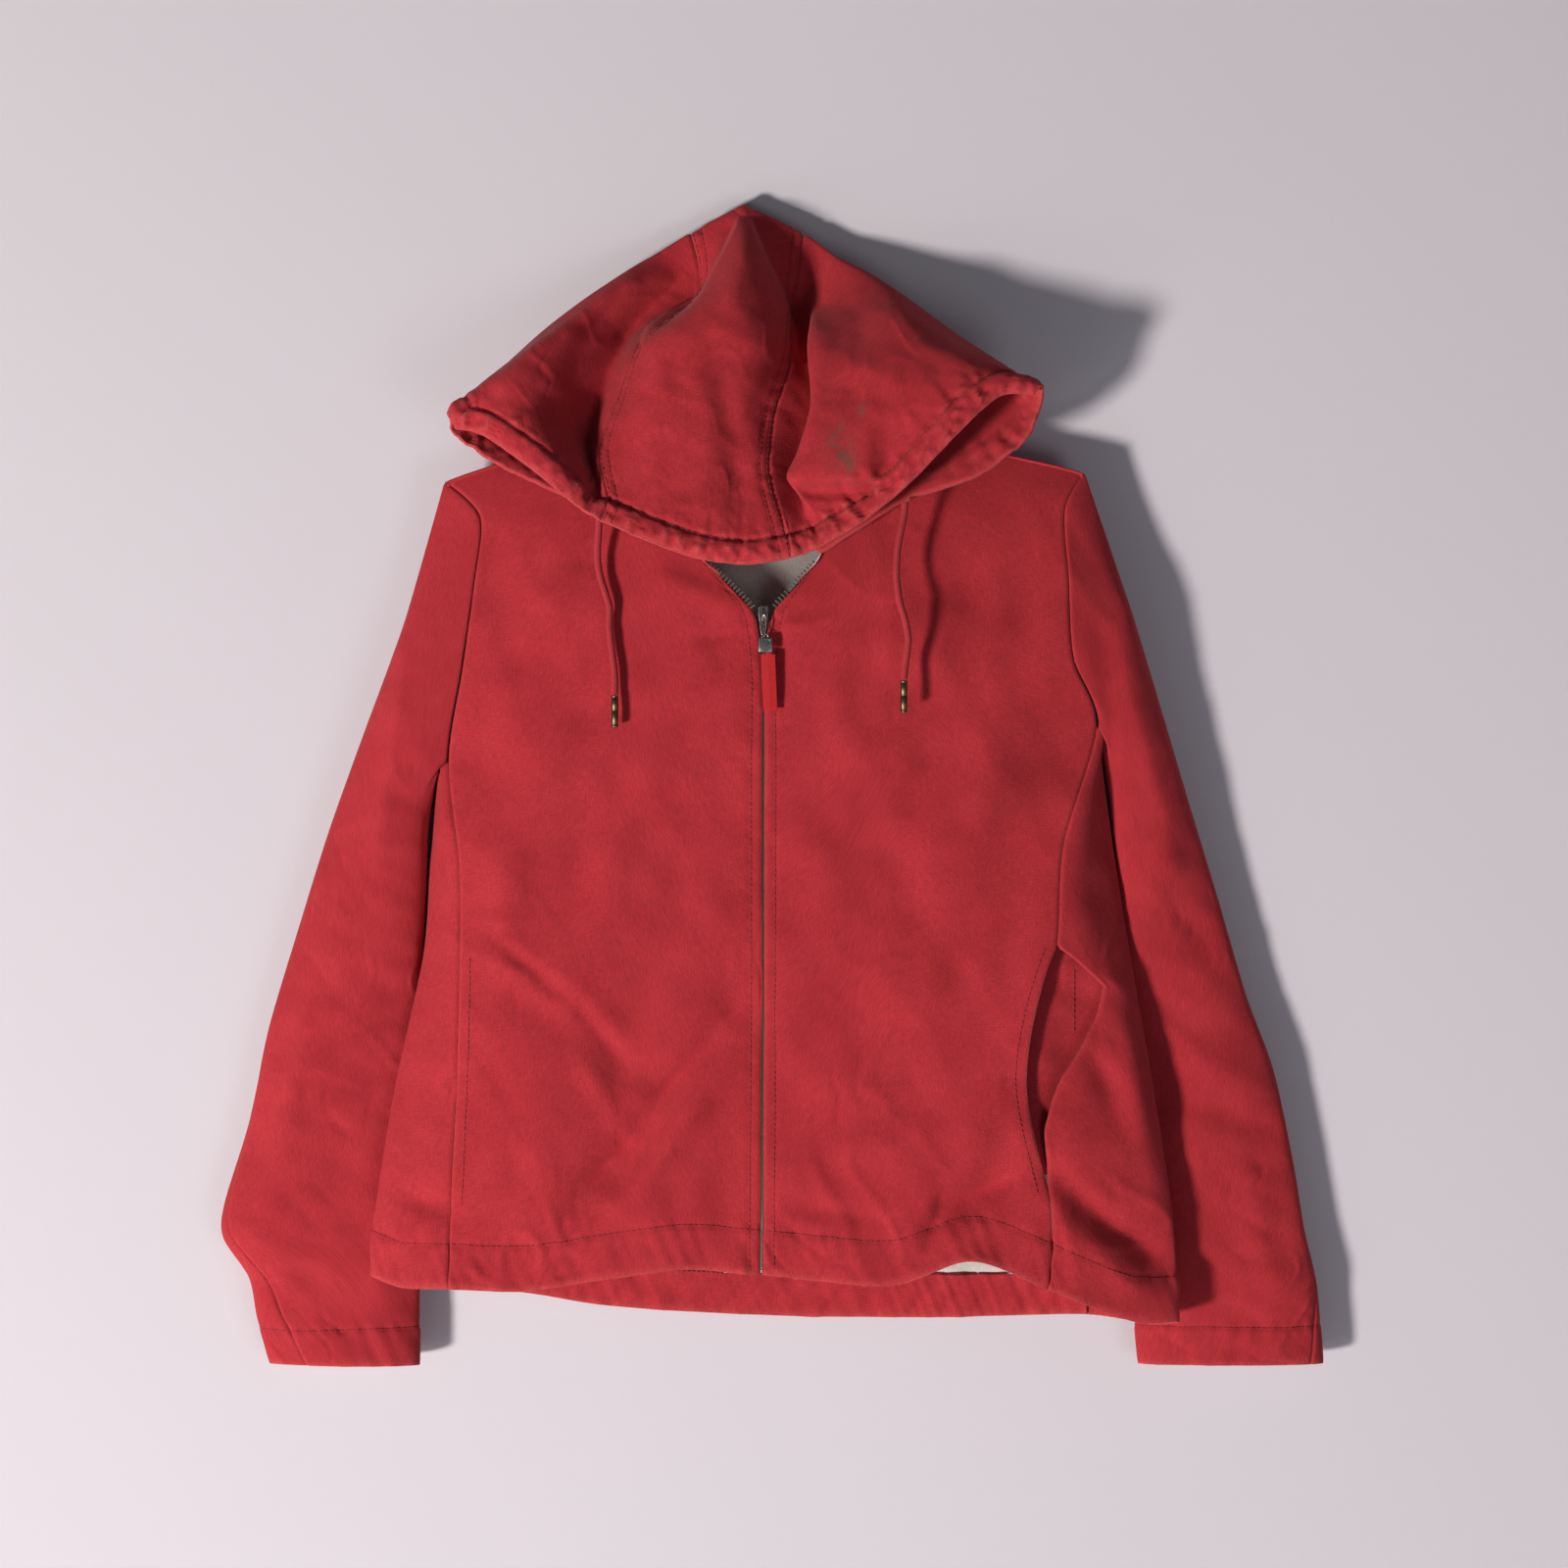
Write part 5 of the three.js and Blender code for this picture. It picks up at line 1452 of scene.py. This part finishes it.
tab = mesh_object("pull_tab_rubber", tab_points, tab_faces, [red_rubber], smooth=False)
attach(tab, "zip_pull")
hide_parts("zip_tab")


# ---- Drawcords ----
# One round braided cotton cord, 5 mm thick, runs in the rim's tunnel. Its two ends leave it behind the lip
# and hang free, each crimped in a grooved tube of antiqued brass.
CORD = 5.0


def braid_material(name, colour, dark):
    """Dyed cotton braid: crossing strands, with painted shade darkening the gaps between them."""
    made = new_material(name)
    t = made.node_tree
    place = node(t, "ShaderNodeTexCoord")
    strands = node(
        t, "ShaderNodeTexNoise", {"Scale": 1 / 0.0016, "Detail": 3.0}, {"Vector": place.outputs["Object"]},
    )
    # painted shade: the gaps between strands are mixed towards the dark colour, standing in for their shadow
    painted_gap_shade = node(t, "ShaderNodeAttribute", {"attribute_name": "braid_gap_shade"})
    fac = node(
        t, "ShaderNodeMath", {"operation": "MULTIPLY_ADD", 1: 0.35},
        {0: strands.outputs["Fac"], 2: painted_gap_shade.outputs["Fac"]},
    )
    tone = node(
        t, "ShaderNodeMix", {"data_type": "RGBA", 6: linear(dark), 7: linear(colour)}, {0: fac.outputs[0]},
    )
    bump = node(
        t, "ShaderNodeBump", {"Strength": 0.4, "Distance": 0.0003}, {"Height": strands.outputs["Fac"]},
    )
    shader = node(
        t, "ShaderNodeBsdfPrincipled", {"Roughness": 0.85, "Sheen Weight": 0.1},
        {"Base Color": tone.outputs[2], "Normal": bump.outputs[0]},
    )
    output(t, shader)
    return made


braid = braid_material("braided_red_cotton", "#b02630", "#5f1017")
antique = metal("antique_brass", "#8d7b5d", "#4a4034", 0.4, 1.6)


def smooth_path(points, step):
    points = np.array(points, float)
    t = np.linspace(0, len(points) - 1, 400)
    i = np.clip(np.floor(t).astype(int), 0, len(points) - 2)
    around = [points[np.clip(i + s, 0, len(points) - 1)] for s in (-1, 0, 1, 2)]
    fine = cardinal(*around, t - i)
    fine = space(fine)
    run = np.concatenate([[0], np.cumsum(np.linalg.norm(np.diff(fine, axis=0), axis=1))])
    even = np.linspace(0, run[-1], max(2, int(run[-1] / step)))
    return np.stack([np.interp(even, run, fine[:, i]) for i in range(3)], axis=-1), run[-1]


CORD_RIGHT = [[-98, -206, 76], [-99, -221, 73], [-100, -243, 71], [-98, -257, 71], [-92, -277, 72],
    [-92, -291, 72], [-90, -308, 73], [-88, -325, 74], [-88, -338, 75]]
CORD_LEFT = [[112, -206, 80], [111, -216, 80], [107, -237, 82], [106, -257, 84], [108, -274, 85],
    [112, -288, 85], [114, -301, 85], [112, -318, 84], [111, -328, 84]]
for name, points in (("right", CORD_RIGHT), ("left", CORD_LEFT)):
    path, long = smooth_path(points, 0.6)
    sides = 18
    cord_points, cord_faces = tube_mesh(path * MM, CORD / 2 * MM, sides)
    cord_points = np.array(cord_points)
    rows = len(path)
    # how far each point stands out on a strand; the material paints shade into the low gaps
    braid_gap_shade = np.zeros(len(cord_points))
    for j in range(rows):
        for k in range(sides):
            s, phi = j * 0.6, 2 * math.pi * k / sides
            weave = abs(math.sin(3 * phi + s * 1.1)) * abs(math.sin(3 * phi - s * 1.1))
            braid_gap_shade[j * sides + k] = weave ** 0.5
            centre = path[j] * MM
            out = cord_points[j * sides + k] - centre
            cord_points[j * sides + k] = centre + out * (0.86 + 0.14 * weave ** 0.5)
    cord = mesh_object("drawcord_" + name + "_braid", cord_points, cord_faces, [braid])
    attribute = cord.data.attributes.new("braid_gap_shade", "FLOAT", "POINT")
    attribute.data.foreach_set("value", braid_gap_shade)
    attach(cord, "hoodie")
    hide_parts("drawcord_" + name)
    end = path[-1]
    profile = (
        (0.2, 2.2), (-0.1, 2.42), (-0.8, 2.42), (-1.0, 2.2), (-1.5, 2.2), (-1.7, 2.42), (-9.8, 2.42),
        (-10.0, 2.2), (-10.5, 2.2), (-10.7, 2.42), (-19.6, 2.3), (-19.8, 2.1), (-20.3, 2.1), (-20.5, 2.3),
        (-21.5, 2.25), (-21.9, 1.95),
    )
    aglet_path = [(end[0], end[1], end[2] - 0.9 + z) for z, _ in profile]
    aglet_radii = np.array([r for _, r in profile]) * MM
    aglet_points, aglet_faces = tube_mesh(np.array(aglet_path) * MM, aglet_radii, 24)
    aglet = mesh_object("aglet_" + name + "_brass", aglet_points, aglet_faces, [antique])
    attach(aglet, "hoodie")
    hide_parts("aglet_" + name)


# ---- Stage: a pale wall and floor, one soft key light and a soft fill ----
# The wall is seen from the room only, so the back of the hoodie can be looked at.
def stage_material(name, colour, one_sided):
    made = new_material(name)
    t = made.node_tree
    shader = node(
        t, "ShaderNodeBsdfPrincipled",
        {"Base Color": linear(colour), "Roughness": 0.95, "Specular IOR Level": 0.1},
    )
    if one_sided:
        facing_away = node(t, "ShaderNodeNewGeometry")
        clear = node(t, "ShaderNodeBsdfTransparent")
        shader = node(
            t, "ShaderNodeMixShader",
            links={0: facing_away.outputs["Backfacing"], 1: shader.outputs[0], 2: clear.outputs[0]},
        )
    output(t, shader)
    return made


FLOOR_Z = -2.9
wall_paint = stage_material("pale_wall_paint", "#d4d3dc", True)
floor_paint = stage_material("pale_floor_paint", "#dcdbe3", False)
wall = mesh_object(
    "stage_wall", [(-5, 0.002, FLOOR_Z), (5, 0.002, FLOOR_Z), (5, 0.002, 3), (-5, 0.002, 3)],
    [(0, 1, 2, 3)], [wall_paint], smooth=False,
)
wall.visible_shadow = False
floor = mesh_object(
    "stage_floor", [(-4, -4, FLOOR_Z), (4, -4, FLOOR_Z), (4, 3, FLOOR_Z), (-4, 3, FLOOR_Z)],
    [(0, 1, 2, 3)], [floor_paint], smooth=False,
)

world = bpy.data.worlds.new("studio")
bpy.context.scene.world = world
world.use_nodes = True
world.node_tree.nodes["Background"].inputs[0].default_value = linear("#e9ecf2")
world.node_tree.nodes["Background"].inputs[1].default_value = 0.085


def area_light(name, place, target, size, watts, colour):
    data = bpy.data.lights.new(name, "AREA")
    data.shape = "DISK"
    data.size = size
    data.energy = watts
    data.color = linear(colour)[:3]
    made = bpy.data.objects.new(name, data)
    bpy.context.scene.collection.objects.link(made)
    made.location = place
    made.rotation_euler = (Vector(target) - Vector(place)).to_track_quat("-Z", "Y").to_euler()
    return made


area_light("key_light", (-3.1, -3.5, -2.3), (0.02, 0.0, -0.42), 0.72, 272.0, "#fff4ec")
area_light("fill_light", (1.3, -2.7, -1.5), (0.02, 0.0, -0.42), 1.2, 12.0, "#f4f2f6")

camera_data = bpy.data.cameras.new("camera")
camera = bpy.data.objects.new("camera", camera_data)
bpy.context.scene.collection.objects.link(camera)
camera.location = (0.0286, -3.0, -0.3998)
camera.rotation_euler = (math.pi / 2, 0, 0)
camera_data.sensor_width = 36
camera_data.lens = 36 * 2.945 / 1.088
bpy.context.scene.camera = camera
bpy.context.scene.view_settings.view_transform = "Standard"

bpy.context.view_layer.update()
